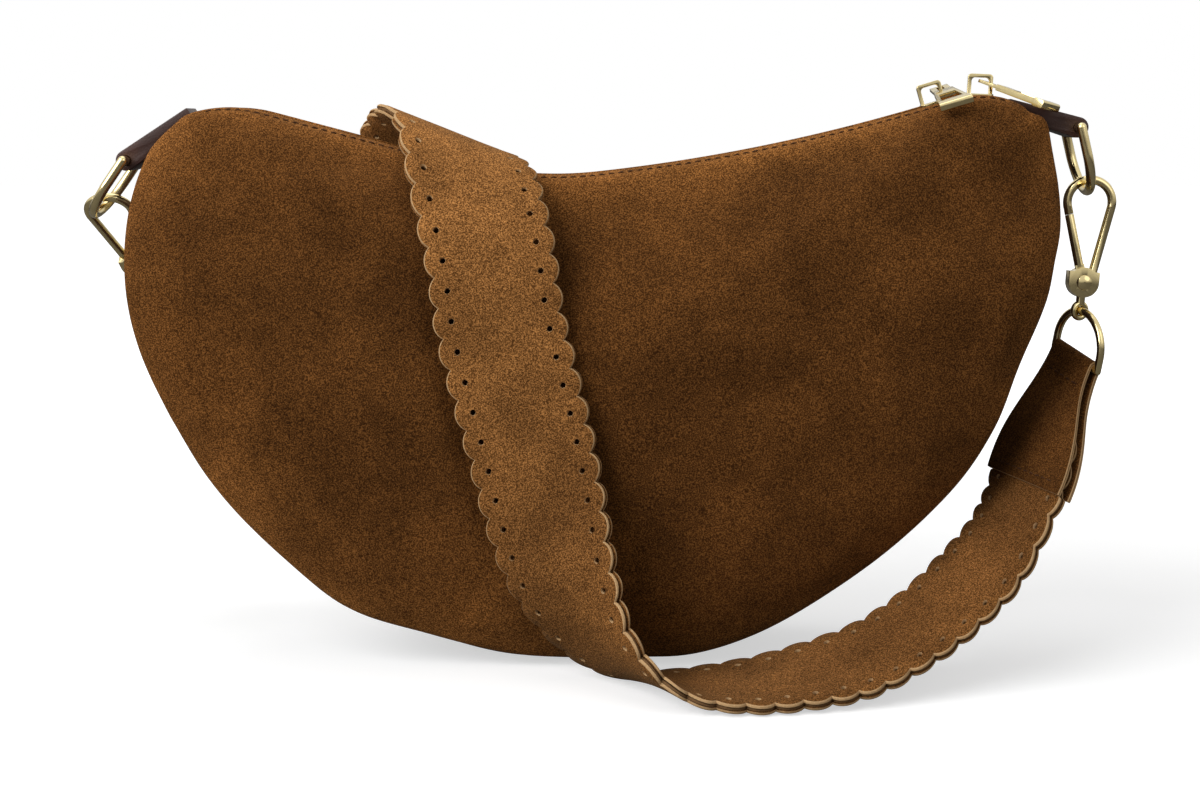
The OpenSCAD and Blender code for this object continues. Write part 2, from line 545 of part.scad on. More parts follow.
module clasp_gate() color(gold) difference() {
  intersection() {
    union() {
      translate([0, tongue_y + tongue_t / 2, 0]) rotate([90, 0, 0]) linear_extrude(tongue_t) {
        circle(tongue_r, $fn = 48);
        rotate(gate_lean) translate([-clasp_wire / 2, 0]) square([clasp_wire, tongue_top]);
      }
      along_gate() translate([0, 0, tongue_top - weld]) cylinder(h = clasp_l, d = clasp_wire, $fn = 48);
    }
    rotate([90, 0, 0]) cylinder(h = 2 * clasp_wire, r = gate_tip_r, center = true, $fn = 192);
  }
  rotate([90, 0, 0]) cylinder(h = 2 * base_d, r = rivet_r + run_gap, center = true, $fn = 48);
}
module gate_rivet() color(gold) {
  rotate([90, 0, 0]) cylinder(h = base_d, r = rivet_r, center = true, $fn = 48);
  for (side = [-1, 1]) translate([0, side * base_d / 2, 0]) rotate([-side * 90, 0, 0]) {
    intersection() {
      cylinder(h = rivet_r, r = rivet_head_r, $fn = 48);
      translate([0, 0, rivet_r - 2 * rivet_head_r]) sphere(2 * rivet_head_r, $fn = 96);
    }
  }
}
// Torsion spring beside the tongue, wound on the rivet
spring_wire = 0.45;
spring_turns = 2;
spring_r = rivet_r + spring_wire / 2 + swing_gap;
spring_pitch = 1.15 * spring_wire;
spring_steps = 14;
spring_sides = 6;
module gate_spring() color(gold) {
  n = spring_turns * spring_steps;
  last_y = slot_d / 2 - spring_wire / 2 - seat_gap;
  sections_solid([for (i = [0 : n])
    let (a = 360 * i / spring_steps, y = last_y - (n - i) / spring_steps * spring_pitch)
    [for (k = [0 : spring_sides - 1]) let (b = 360 * k / spring_sides, r = spring_r + spring_wire / 2 * cos(b))
      [r * cos(a), y + spring_wire / 2 * sin(b), r * sin(a)]]]);
}
module clasp_frame_left() at_clasp(loop_bar_left, loop_angles_left, spin_left) clasp_frame();
module clasp_frame_right() at_clasp(loop_bar_right, loop_angles_right, spin_right) clasp_frame();
module clasp_gate_left() at_clasp(loop_bar_left, loop_angles_left, spin_left) clasp_gate();
module clasp_gate_right() at_clasp(loop_bar_right, loop_angles_right, spin_right) clasp_gate();
module gate_spring_left() at_clasp(loop_bar_left, loop_angles_left, spin_left) gate_spring();
module gate_spring_right() at_clasp(loop_bar_right, loop_angles_right, spin_right) gate_spring();
module gate_rivet_left() at_clasp(loop_bar_left, loop_angles_left, spin_left) gate_rivet();
module gate_rivet_right() at_clasp(loop_bar_right, loop_angles_right, spin_right) gate_rivet();

// Strap route: stations chosen by hand. Each row is the middle of the strap,
// as shares of half the width, half the depth and the height of the body, and
// the direction across it; the first and last are the loops' bars.
strap_shares = [
  [-1.046, 1.25, 0.593, 0, 91, 42], [-1.029, 1.295, 0.523, 0, 95, 30],
  [-0.989, 1.364, 0.449, 5, 98, 18], [-0.92, 1.432, 0.361, 8, 98, 10],
  [-0.829, 1.455, 0.287, 12, 98, 0], [-0.72, 1.409, 0.259, 30, 92, -25],
  [-0.64, 1.318, 0.306, 60, 65, -45], [-0.589, 1.227, 0.417, 82, 35, -42],
  [-0.537, 1.159, 0.546, 90, 15, -38], [-0.486, 1.091, 0.681, 93, 5, -36],
  [-0.434, 0.932, 0.806, 94, 0, -36], [-0.394, 0.591, 0.903, 94, -2, -39],
  [-0.346, 0.136, 0.933, 94, -4, -40], [-0.294, -0.295, 0.917, 97, 0, -30],
  [-0.26, -0.636, 0.868, 98, 8, -5], [-0.234, -0.864, 0.796, 98, 5, 15],
  [-0.211, -0.977, 0.713, 97, 4, 20], [-0.194, -1.057, 0.616, 97, 0, 23],
  [-0.163, -1.102, 0.509, 95, -8, 29], [-0.129, -1.136, 0.403, 93, -12, 33],
  [-0.097, -1.227, 0.292, 88, -26, 36], [-0.057, -1.386, 0.181, 74, -52, 37],
  [0.006, -1.523, 0.09, 50, -78, 36], [0.086, -1.625, 0.035, 32, -90, 24],
  [0.177, -1.705, 0.016, 20, -97, 6], [0.274, -1.75, 0.016, 16, -98, -5],
  [0.389, -1.705, 0.025, 11, -98, -14], [0.554, -1.545, 0.051, 6, -95, -26],
  [0.68, -1.307, 0.095, 9, -94, -32], [0.783, -1.068, 0.15, 15, -92, -36],
  [0.869, -0.841, 0.211, 22, -93, -30], [0.934, -0.591, 0.294, 33, -93, -8],
  [0.994, -0.33, 0.398, 42, -89, -11], [1.047, -0.091, 0.479, 38, -89, -25],
  [1.076, -0.007, 0.529, 38, -88, -28]];
// Rows high on the body follow the dip of the zip, rows near an end its loop
dip_share = 0.87238;
dip_move = zip_at(0.3 * bag_w)[1] - dip_share * bag_h;
end_rows = 5;
function share_place(r) = [r[0] * bag_w / 2, r[1] * bag_d / 2,
  r[2] * bag_h + dip_move * smooth((r[2] - 0.5) / 0.3)];
rows_n = len(strap_shares);
left_move = loop_bar_left - share_place(strap_shares[0]);
right_move = loop_bar_right - share_place(strap_shares[rows_n - 1]);
function row_place(i) = share_place(strap_shares[i]) + left_move * (1 - smooth(i / end_rows))
  + right_move * (1 - smooth((rows_n - 1 - i) / end_rows));
route_steps = 6;
route_rows = [for (i = [0 : rows_n - 1]) concat(row_place(i), [for (c = [3 : 5]) strap_shares[i][c]])];
route = spline(route_rows, route_steps);
route_n = len(route);
function place(p) = [p[0], p[1], p[2]];
function across(p) = unit([p[3], p[4], p[5]]);
function route_gap(i) = i + 1 < route_n ? norm(place(route[i + 1]) - place(route[i])) : 0;
route_run = [for (i = 0, s = 0; i < route_n; s = s + route_gap(i), i = i + 1) s];
route_l = route_run[route_n - 1];
route_tables = [for (c = [0 : 5]) [for (i = [0 : route_n - 1]) [route_run[i], route[i][c]]]];
function route_at(s) = [for (c = [0 : 5]) lookup(s, route_tables[c])];
route_eps = scallop_pitch / 4;
function facing(s) =
  unit(cross(across(route_at(s)), place(route_at(s + route_eps)) - place(route_at(s - route_eps))));
// Ribbon section: half width, and the offsets of its two faces
function ribbon(s, half, lo, hi) = let (p = place(route_at(s)), w = across(route_at(s)) * half, n = facing(s))
  [p - w + n * lo, p + w + n * lo, p + w + n * hi, p - w + n * hi];

// Strap: scalloped along both edges
tab_cover = 56;
strap_hidden = 16;
scallop_steps = 4;
scallop_r = (scallop_pitch * scallop_pitch / 4 + scallop_depth * scallop_depth) / (2 * scallop_depth);
function notch(s) = let (x = s - floor(s / scallop_pitch) * scallop_pitch - scallop_pitch / 2)
  scallop_r - sqrt(scallop_r * scallop_r - x * x);
function strap_half(s) = strap_w / 2 - notch(s) - taper(s);
function taper(s) = (strap_w - tab_top_w) / 2 * (1 - smooth(min(s, route_l - s) / tab_cover));
tab_top_w = loop_w - 2 * swing_gap;
module strap() color(suede) sections_solid([for (s = [strap_hidden : strap_step : route_l - strap_hidden])
  ribbon(s, strap_half(s) - (min(s, route_l - s) < tab_cover ? panel_t : 0), -strap_t / 2, strap_t / 2)]);

// Strap end tabs: a leather layer on each face of the strap, and a sleeve
// round the loop's bar
sleeve_in = loop_wire / 2 + run_gap;
sleeve_out = sleeve_in + end_tab_t;
strap_step = scallop_pitch / scallop_steps;
strap_last = strap_hidden + floor((route_l - 2 * strap_hidden) / strap_step) * strap_step;
tab_stations = floor(tab_cover / strap_step);
tab_before = floor(strap_hidden / strap_step);
function tab_s(i, from_end) = let (d = (i - tab_before) * strap_step)
  from_end ? (i == 0 ? route_l - sleeve_in : strap_last - d) : (i == 0 ? sleeve_in : strap_hidden + d);
function tab_lo(s) = let (d = min(s, route_l - s))
  strap_t / 2 + swing_gap + (sleeve_in - strap_t / 2) * (1 - smooth(d / strap_hidden));
module strap_end_tab(bar, turn, from_end) color(suede) difference() {
  union() {
    at_loop(bar, turn) rotate([0, 90, 0]) cylinder(h = tab_top_w, r = sleeve_out, center = true, $fn = 48);
    for (side = [-1, 1])
      sections_solid([for (i = from_end == (side > 0) ? [tab_stations : -1 : 0] : [0 : tab_stations])
        let (s = tab_s(i, from_end), lo = tab_lo(s))
        ribbon(s, strap_w / 2 - taper(s), side * lo, side * (lo + end_tab_t))]);
  }
  at_loop(bar, turn) rotate([0, 90, 0]) cylinder(h = 2 * loop_w, r = sleeve_in, center = true, $fn = 48);
}
module strap_end_tab_left() strap_end_tab(loop_bar_left, loop_angles_left, false);
module strap_end_tab_right() strap_end_tab(loop_bar_right, loop_angles_right, true);

front_panel();
back_panel();
gusset();
lining();
zip_tape_front();
zip_tape_back();
zip_teeth_front();
zip_teeth_back();
zip_end_stops();
slider_left();
slider_right();
pull_left();
pull_right();
end_tab_left();
end_tab_right();
d_ring_left();
d_ring_right();
clasp_frame_left();
clasp_frame_right();
clasp_gate_left();
clasp_gate_right();
gate_spring_left();
gate_spring_right();
gate_rivet_left();
gate_rivet_right();
swivel_stud_left();
swivel_stud_right();
strap_loop_left();
strap_loop_right();
strap_end_tab_left();
strap_end_tab_right();
strap();
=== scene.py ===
"""Half moon shoulder bag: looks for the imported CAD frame, laid out as a Blender add-on."""

import json
import math

import bmesh
import bpy
import numpy as np
from bpy.props import FloatProperty, FloatVectorProperty, IntProperty, PointerProperty
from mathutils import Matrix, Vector, noise
from mathutils.bvhtree import BVHTree
from mathutils.geometry import delaunay_2d_cdt
from mathutils.kdtree import KDTree

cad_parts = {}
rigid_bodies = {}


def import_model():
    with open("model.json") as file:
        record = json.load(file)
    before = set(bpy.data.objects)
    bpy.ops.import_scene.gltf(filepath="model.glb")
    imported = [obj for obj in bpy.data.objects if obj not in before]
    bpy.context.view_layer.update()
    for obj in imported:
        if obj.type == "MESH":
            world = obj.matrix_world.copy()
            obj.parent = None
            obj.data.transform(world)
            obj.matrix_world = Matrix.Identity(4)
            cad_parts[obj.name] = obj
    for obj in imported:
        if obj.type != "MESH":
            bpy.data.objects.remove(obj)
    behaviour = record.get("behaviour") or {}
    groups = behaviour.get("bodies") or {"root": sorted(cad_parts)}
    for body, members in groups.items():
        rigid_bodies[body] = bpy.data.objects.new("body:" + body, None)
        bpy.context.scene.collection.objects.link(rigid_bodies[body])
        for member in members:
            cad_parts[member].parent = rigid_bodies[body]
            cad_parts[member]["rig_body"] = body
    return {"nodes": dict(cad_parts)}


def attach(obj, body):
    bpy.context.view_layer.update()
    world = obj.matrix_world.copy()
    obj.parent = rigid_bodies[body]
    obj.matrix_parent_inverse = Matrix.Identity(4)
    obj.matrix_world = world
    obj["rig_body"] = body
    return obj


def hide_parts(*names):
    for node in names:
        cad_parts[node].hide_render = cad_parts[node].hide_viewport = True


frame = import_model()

bl_info = {
    "name": "Half moon bag",
    "version": (1, 0, 0),
    "blender": (4, 5, 0),
    "location": "View3D > Sidebar > Bag",
    "description": "Builds the suede, leather and metal pieces of a half moon shoulder bag",
    "category": "Object",
}

MM = 0.001


# ---- sizes and colours


def linear(hex_colour):
    """An sRGB hex colour as the linear colour that the shaders take."""
    v = [int(hex_colour[i : i + 2], 16) / 255 for i in (1, 3, 5)]
    return tuple(c / 12.92 if c <= 0.04045 else ((c + 0.055) / 1.055) ** 2.4 for c in v)


def colour_prop(name, what, hex_colour):
    limits = {"size": 3, "min": 0, "max": 1, "default": linear(hex_colour)}
    return FloatVectorProperty(name=name, description=what, subtype="COLOR", **limits)


def length_prop(name, what, mm, low, high):
    sizes = {"default": mm * MM, "min": low * MM, "max": high * MM}
    return FloatProperty(name=name, description=what, unit="LENGTH", precision=5, **sizes)


class BagLooks(bpy.types.PropertyGroup):
    """Colours of the bag's materials"""

    suede: colour_prop("Suede", "Napped side of the panels", "#5B3818")
    strap_suede: colour_prop("Strap suede", "Napped side of the strap", "#744C26")
    cut_edge: colour_prop("Cut edge", "Raw cut edge of the strap's layers", "#C8A274")
    core: colour_prop("Strap core", "Edge of the layer between the strap's two faces", "#7C5C3C")
    leather: colour_prop("Smooth leather", "Gusset and end tabs", "#3A2018")
    thread: colour_prop("Thread", "Topstitching", "#4A2E18")
    metal: colour_prop("Metal", "Pale gold plating", "#E4D19C")
    tape: colour_prop("Zip tape", "Woven tape", "#2E1C14")
    lining: colour_prop("Lining", "Cotton inside the bag", "#594533")


class BagSizes(bpy.types.PropertyGroup):
    """Sizes of the details that the solids leave to this scene"""

    grid: length_prop("Cloth grid", "Distance between points of the panels' cloth", 4.0, 3, 8)
    slack: FloatProperty(
        name="Slack", description="Extra cloth, a share of the panel's size", default=0.012, min=0, max=0.05
    )
    settle_frames: IntProperty(
        name="Settling", description="Frames that the panels' cloth settles for", default=20, min=5, max=40
    )
    stitch: length_prop("Stitch", "Length of one stitch", 2.9, 1.5, 4)
    stitch_gap: length_prop("Stitch gap", "Gap between two stitches", 1.0, 0.4, 2)
    thread: length_prop("Thread", "Thickness of the sewing thread", 0.6, 0.4, 1)
    hole: length_prop("Punched hole", "Radius of the strap's punched holes", 1.1, 0.6, 1.5)
    hole_inset: length_prop("Hole inset", "Distance from a scallop's tip to its hole", 7.0, 4, 9)


# ---- the bag's own curves

BAG_W, BAG_H, BAG_D = 350 * MM, 216 * MM, 88 * MM
MOUTH_W, GUSSET_W, CROWN = 24 * MM, 62 * MM, 3.2 * MM
LIP, TAPE_T, ROW_OUT = 1.5 * MM, 0.8 * MM, 2.85 * MM
# The zip line's left end in shares of half the width and of the height, with its heading in degrees,
# then each stretch: its length as a share of the width and its turn in degrees
ZIP_START = (-0.869, 0.9606, 17)
ZIP = ((0.079, -31.7), (0.213, 0), (0.156, 20.8), (0.392, 11), (0.05, -27), (0.03, -22))
# The panels' seam from upper right to upper left, in shares of half the width and of the height
SEAM = (
    (0.965, 0.945), (0.99, 0.885), (0.998, 0.79), (0.975, 0.66), (0.915, 0.53), (0.865, 0.42),
    (0.78, 0.315), (0.65, 0.21), (0.50, 0.12), (0.36, 0.055), (0.22, 0.018), (0.08, 0.0125),
    (-0.08, 0.0125), (-0.20, 0.022), (-0.36, 0.055), (-0.53, 0.1), (-0.67, 0.19), (-0.80, 0.30),
    (-0.894, 0.42), (-0.972, 0.56), (-1, 0.69), (-0.996, 0.81), (-0.96, 0.895), (-0.90, 0.945),
)
# How far a panel stands out, from its rim to its middle: beside the gusset and by the mouth
INSET = (0, 0.02, 0.06, 0.14, 0.28, 0.5, 0.75, 1)
BULGE = (0, 0.22, 0.42, 0.62, 0.80, 0.93, 0.985, 1)
MOUTH_BULGE = (0, 0.13, 0.27, 0.46, 0.68, 0.87, 0.97, 1)
SHOULDER, CORNER_R, CORNER_L = 1.6, 2.1, 1.2  # mm that the stuffing pushes the upper corners out
MID = np.array((0.0, 0.5 * BAG_H))
ZIP_L = BAG_W * sum(z[0] for z in ZIP)


def smooth(t):
    t = np.clip(t, 0, 1)
    return t * t * (3 - 2 * t)


def unit(v):
    return v / np.linalg.norm(v, axis=-1, keepdims=True)


def run_along(points):
    """How far along their line each of the points lies."""
    return np.concatenate([[0], np.cumsum(np.linalg.norm(np.diff(points, axis=0), axis=1))])


def sampled(at, run, rows):
    """Rows read between the given ones, at any runs."""
    return np.stack([np.interp(at, run, column) for column in rows.T], axis=-1)


def spline(points, steps):
    """A Catmull-Rom curve through points, steps to a span, as the part's source has it."""
    p = np.asarray(points, float)
    n = len(p)
    out = []
    for i in range(n - 1):
        a, b, c, d = p[max(i - 1, 0)], p[i], p[i + 1], p[min(i + 2, n - 1)]
        square, cube = 2 * a - 5 * b + 4 * c - d, 3 * b - a - 3 * c + d
        out += [0.5 * (2 * b + (c - a) * t + square * t * t + cube * t**3) for t in np.arange(steps) / steps]
    return np.array(out + [p[-1]])


def zip_at(s):
    """Place and heading on the zip line, s metres from its left end: x, z, radians."""
    x, z, h = ZIP_START[0] * BAG_W / 2, ZIP_START[1] * BAG_H, math.radians(ZIP_START[2])
    for k, (share, turn) in enumerate(ZIP):
        whole = share * BAG_W
        run = min(s, whole) if k < len(ZIP) - 1 else s
        bend = math.radians(turn) * run / whole
        if abs(bend) < 1e-6:
            x, z = x + run * math.cos(h), z + run * math.sin(h)
        else:
            r = run / bend
            x, z = x + r * (math.sin(h + bend) - math.sin(h)), z - r * (math.cos(h + bend) - math.cos(h))
        h, s = h + bend, s - run
        if s <= 1e-9:
            break
    return x, z, h


def zip_frames(step):
    return np.array([zip_at(s) for s in np.linspace(0, ZIP_L, int(ZIP_L / step) + 1)])


def lip_line(frames):
    """The panels' edge beside the zip, seen from the front."""
    x, z, heading = frames.T
    return np.stack([x - LIP * np.sin(heading), z + LIP * np.cos(heading)], axis=1)


def resampled(points, step):
    """The same open line with points about step apart."""
    run = run_along(points)
    return sampled(np.linspace(0, run[-1], max(2, int(round(run[-1] / step)) + 1)), run, points)


class Rim:
    """A panel's rim, anticlockwise seen from the back, and the form of the panel inside it."""

    def __init__(self, step, zip_step=None, full=False):
        top = lip_line(zip_frames(zip_step or step))
        seam = spline([(x * BAG_W / 2, z * BAG_H) for x, z in SEAM], 8)
        corner_r = resampled(np.array([top[-1], seam[0]]), step)[1:-1]
        corner_l = resampled(np.array([seam[-1], top[0]]), step)[1:-1]
        self.zip_n = len(top)
        self.seam = self.points = np.concatenate([top, corner_r, resampled(seam, step), corner_l])
        ends = np.where(self.points[:, 0] > 0, seam[0][1], seam[-1][1])
        below = smooth((ends - self.points[:, 1]) / (0.3 * BAG_H))
        self.edge = MOUTH_W / 2 + (GUSSET_W - MOUTH_W) / 2 * below
        self.edge[: self.zip_n] = MOUTH_W / 2
        if full:
            self.points = self.seam + self.fullness(len(corner_r), len(corner_l))
        self.n = len(self.points)
        v = self.points - MID
        self.angle = np.unwrap(np.arctan2(v[:, 1], v[:, 0]))
        self.radius = np.linalg.norm(v, axis=1)

    def fullness(self, right_n, left_n):
        """How far the stuffing pushes a panel out over its own seam: most at the two upper corners."""
        x, z = self.seam.T
        bump = lambda at, wide: np.exp(-(((z - at * BAG_H) / (wide * MM)) ** 2))
        right = SHOULDER * smooth((z - 0.70 * BAG_H) / (0.07 * BAG_H)) + CORNER_R * bump(0.945, 7)
        far = np.where(x > 0, right, CORNER_L * bump(0.935, 12)) * MM
        far[: self.zip_n] = 0
        far[self.zip_n : self.zip_n + right_n] *= np.linspace(0, 1, right_n)
        far[len(far) - left_n :] *= np.linspace(1, 0, left_n)
        return unit(self.seam - MID) * far[:, None]

    def around(self, x, z):
        """Rim radius and edge width in the direction of x, z."""
        turns = np.mod(self.angle, 2 * math.pi)
        order = np.argsort(turns)
        a = np.mod(np.arctan2(z - MID[1], x - MID[0]), 2 * math.pi)
        read = lambda row: np.interp(a, turns[order], row[order], period=2 * math.pi)
        return read(self.radius), read(self.edge)

    def inset(self, x, z):
        """How far inside the rim x, z lies, toward the panel's middle."""
        return self.around(x, z)[0] - np.hypot(x - MID[0], z - MID[1])

    def toward(self):
        """The way from each rim point to the panel's middle."""
        return (MID - self.points) / self.radius[:, None]

    def out(self, x, z, inner=0.0):
        """How far a panel stands out from the bag's middle plane at x, z."""
        radius, edge = self.around(x, z)
        share = np.clip(1 - np.hypot(x - MID[0], z - MID[1]) / radius, 0, 1)
        t = (edge - MOUTH_W / 2) / (GUSSET_W - MOUTH_W) * 2
        b = bulge_at(share, MOUTH_BULGE) * (1 - t) + bulge_at(share, BULGE) * t
        return edge + (BAG_D / 2 - edge) * b - inner


def bulge_at(share, table):
    """The bulge table as one smooth curve that never turns back."""
    x, y = np.array(INSET, float), np.array(table, float)
    slope = np.diff(y) / np.diff(x)
    m = np.concatenate([[slope[0] * 1.3], 2 * slope[:-1] * slope[1:] / (slope[:-1] + slope[1:]), [0]])
    i = np.clip(np.searchsorted(x, share, side="right") - 1, 0, len(x) - 2)
    h = x[i + 1] - x[i]
    t = (share - x[i]) / h
    ends = (2 * t**3 - 3 * t**2 + 1) * y[i] + (t**3 - 2 * t**2 + t) * h * m[i]
    return ends + (3 * t**2 - 2 * t**3) * y[i + 1] + (t**3 - t**2) * h * m[i + 1]


# The strap's middle line: place in mm, then the direction across, of any length
ROUTE = (
    (-183, 55, 128, 0, 91, 42), (-180.03, 56.98, 112.89, 0, 95, 30), (-173.04, 60.02, 96.93, 5, 98, 18),
    (-160.98, 63.01, 77.94, 8, 98, 10), (-145.07, 64.02, 61.98, 12, 98, 0), (-126, 62, 55.94, 30, 92, -25),
    (-112, 57.99, 66.1, 60, 65, -45), (-103.07, 53.99, 90.07, 82, 35, -42), (-93.98, 51, 117.94, 90, 15, -38),
    (-85.05, 48, 147.1, 93, 5, -36), (-75.95, 41.01, 174.1, 94, 0, -36), (-68.95, 26, 195.05, 94, -2, -39),
    (-60.55, 5.98, 201.53, 94, -4, -40), (-51.45, -12.98, 198.07, 97, 0, -30),
    (-45.5, -27.98, 187.49, 98, 8, -5), (-40.95, -38.02, 171.94, 98, 5, 15),
    (-36.92, -42.99, 154.01, 97, 4, 20), (-33.95, -46.51, 133.06, 97, 0, 23),
    (-28.53, -48.49, 109.94, 95, -8, 29), (-22.57, -49.98, 87.05, 93, -12, 33),
    (-16.98, -53.99, 63.07, 88, -26, 36), (-9.97, -60.98, 39.1, 74, -52, 37),
    (1.05, -67.01, 19.44, 50, -78, 36), (15.05, -71.5, 7.56, 32, -90, 24), (30.97, -75.02, 3.46, 20, -97, 6),
    (47.95, -77, 3.46, 16, -98, -5), (68.08, -75.02, 5.4, 11, -98, -14), (96.95, -67.98, 11.02, 6, -95, -26),
    (119, -57.51, 20.52, 9, -94, -32), (137.03, -46.99, 32.4, 15, -92, -36),
    (152.07, -37, 45.57, 22, -93, -30), (163.45, -26, 63.48, 33, -93, -8),
    (173.95, -14.51, 85.93, 42, -89, -11), (183.22, -4, 103.41, 38, -89, -25),
    (188.3, -0.3, 114.2, 38, -88, -28),
)
STRAP_W, STRAP_T, PITCH, NOTCH = 49 * MM, 3.6 * MM, 11 * MM, 2.7 * MM  # pitch and depth of the scallops
SCALLOP_R = (PITCH**2 / 4 + NOTCH**2) / (2 * NOTCH)
FRAY, PUNCHED = 0.45 * MM, 0.12 * MM  # how far the fibres slope at a cut edge and at a punched hole
# Where the strap's layers end, from its middle plane, and how much narrower than the face they are cut
FACE_IN, CORE_OUT, CORE_TRIM, INNER_TRIM = 0.75 * MM, 0.5 * MM, 0.8 * MM, 0.1 * MM
WOBBLE, UNDER_TAB = 0.35 * MM, 2 * MM  # how uneven it lies, and how much narrower it is under its tabs
TAB_COVER, STRAP_HIDDEN = 56 * MM, 16 * MM  # what a tab covers, and what of that is within its fold
LOOP_W, LOOP_WIRE, TAB_T, TAB_PLAY = 25 * MM, 3 * MM, 1.7 * MM, 0.02 * MM
SLEEVE = LOOP_WIRE / 2 + 0.06 * MM


class Route:
    """The strap's way: its middle, the direction across it and the one its face looks in."""

    def __init__(self):
        self.rows = spline(ROUTE, 12)
        self.rows[:, :3] *= MM
        self.run = run_along(self.rows[:, :3])
        self.length = self.run[-1]

    def at(self, s):
        look = lambda q: sampled(q, self.run, self.rows)
        s, step = np.asarray(s, float), PITCH / 4
        here, ahead = look(s), (look(s + step) - look(s - step))[..., :3]
        across = unit(here[..., 3:])
        return here[..., :3], across, unit(np.cross(across, ahead))

    def point(self, s, t, h):
        place, across, face = self.at(s)
        return place + across * np.asarray(t)[..., None] + face * np.asarray(h)[..., None]

    def taper(self, s):
        """How much narrower each half of the strap is near its ends."""
        return (STRAP_W - LOOP_W + 0.4 * MM) / 2 * (1 - smooth(np.minimum(s, self.length - s) / TAB_COVER))


# ---- materials


def add_node(tree, kind, links=None, **settings):
    """One shader node: plain settings by name, and links or values for its inputs."""
    node = tree.nodes.new("ShaderNode" + kind)
    for k, v in settings.items():
        setattr(node, k, v)
    for k, v in (links or {}).items():
        if isinstance(v, bpy.types.NodeSocket):
            tree.links.new(v, node.inputs[k])
        else:
            node.inputs[k].default_value = v
    return node


def new_material(name):
    m = bpy.data.materials.new(name)
    m.use_nodes = True
    m.node_tree.nodes.clear()
    return m, m.node_tree


def own_coords(tree):
    return add_node(tree, "TexCoord").outputs["Object"]


def ranged(tree, value, low, high, **more):
    """A value from 0 to 1 spread between low and high."""
    links = {"Value": value, "To Min": low, "To Max": high, **more}
    return add_node(tree, "MapRange", links).outputs[0]


def finish_material(m, tree, base, rough, gloss, height, strength, depth_mm, **more):
    """The surface shader with its inputs, and a fine relief depth_mm deep."""
    relief = {"Height": height, "Strength": strength, "Distance": depth_mm * MM}
    normal = add_node(tree, "Bump", relief).outputs[0]
    links = {"Base Color": base, "Roughness": rough, "Specular IOR Level": gloss, "Normal": normal, **more}
    shader = add_node(tree, "BsdfPrincipled", links)
    add_node(tree, "OutputMaterial", {0: shader.outputs[0]})
    return m


def shades(tree, factor, stops):
    """A colour ramp between shades of one colour."""
    ramp = add_node(tree, "ValToRGB", {"Fac": factor})
    ramp.color_ramp.elements[0].position, ramp.color_ramp.elements[1].position = stops[0][0], stops[-1][0]
    for at, _ in stops[1:-1]:
        ramp.color_ramp.elements.new(at)
    for element, (_, c) in zip(ramp.color_ramp.elements, stops):
        element.color = (*c, 1)
    return ramp.outputs[0]


def tints(tree, factor, colour, *stops):
    """A ramp between tints of one colour: where each lies, how bright and how much warmer it is."""
    out = []
    for at, k, *more in stops:
        warm = more[0] if more else 0
        out.append((at, tuple(min(1.0, c * k * w) for c, w in zip(colour, (1 + warm, 1, 1 - warm)))))
    return shades(tree, factor, out)


def speckle(tree, coords, size_mm, detail=2.0, rough=0.6, **more):
    """Noise whose grains are size_mm apart on the real thing."""
    links = {"Vector": coords, "Scale": 1 / (size_mm * MM), "Detail": detail, "Roughness": rough, **more}
    return add_node(tree, "TexNoise", links).outputs["Fac"]


def mixed(tree, a, b, factor, kind="MIX"):
    links = {0: factor, 6: a, 7: b}
    return add_node(tree, "Mix", links, data_type="RGBA", blend_type=kind).outputs[2]


def joined(tree, a, b, kind):
    return add_node(tree, "Math", {0: a, 1: b}, operation=kind).outputs[0]


WAVE = 0.31831  # the wave texture's scale for one band to a unit


def suede(name, colour):
    """Split leather with a brushed nap: no gloss, a soft light rim, and patches where the nap lies
    one way or the other. The piece's painted light map says where the nap is painted paler, a painted
    highlight where light falls on it."""
    m, tree = new_material(name)
    coords = own_coords(tree)
    brushed = speckle(tree, coords, 30, 2.0, 0.5, Distortion=0.4)  # patches of nap as a hand leaves them
    tufts = speckle(tree, coords, 2.4, 3.0, 0.65)  # clumps of fibre
    fibre = speckle(tree, coords, 0.5, 1.0, 0.7)  # tips of the nap, each catching light or not
    lay = tints(tree, brushed, colour, (0.34, 0.74, 0.01), (0.52, 1), (0.68, 1.24))
    clump = shades(tree, tufts, ((0.32, (0.80, 0.79, 0.78)), (0.5, (1, 1, 1)), (0.68, (1.2, 1.2, 1.18))))
    grain = shades(tree, fibre, ((0.36, (0.26, 0.23, 0.21)), (0.5, (0.88,) * 3), (0.64, (2.1, 2.22, 2.4))))
    # painted light: the nap is painted paler where the painted light map says light falls on it
    rub = add_node(tree, "Attribute", attribute_name="rub").outputs["Fac"]
    wear_and_painted_light = mixed(tree, lay, (2.62, 2.7, 2.78, 1), rub, "MULTIPLY")
    base = mixed(tree, mixed(tree, wear_and_painted_light, clump, 0.8, "MULTIPLY"), grain, 0.85, "MULTIPLY")
    rim = {"IOR": 1.45, "Sheen Weight": 0.10, "Sheen Roughness": 0.4, "Sheen Tint": (1.0, 0.66, 0.36, 1)}
    return finish_material(m, tree, base, 0.95, 0.06, joined(tree, tufts, fibre, "ADD"), 0.6, 0.4, **rim)


def raw_edge(name, colour):
    """The cut side of split leather: paler than the nap, with loose fibres along the cut."""
    m, tree = new_material(name)
    fibre = speckle(tree, own_coords(tree), 0.7, 3.0, 0.8)
    base = tints(tree, fibre, colour, (0.25, 0.6), (0.6, 1), (0.8, 1.15))
    return finish_material(m, tree, base, 0.9, 0.15, fibre, 0.5, 0.3)


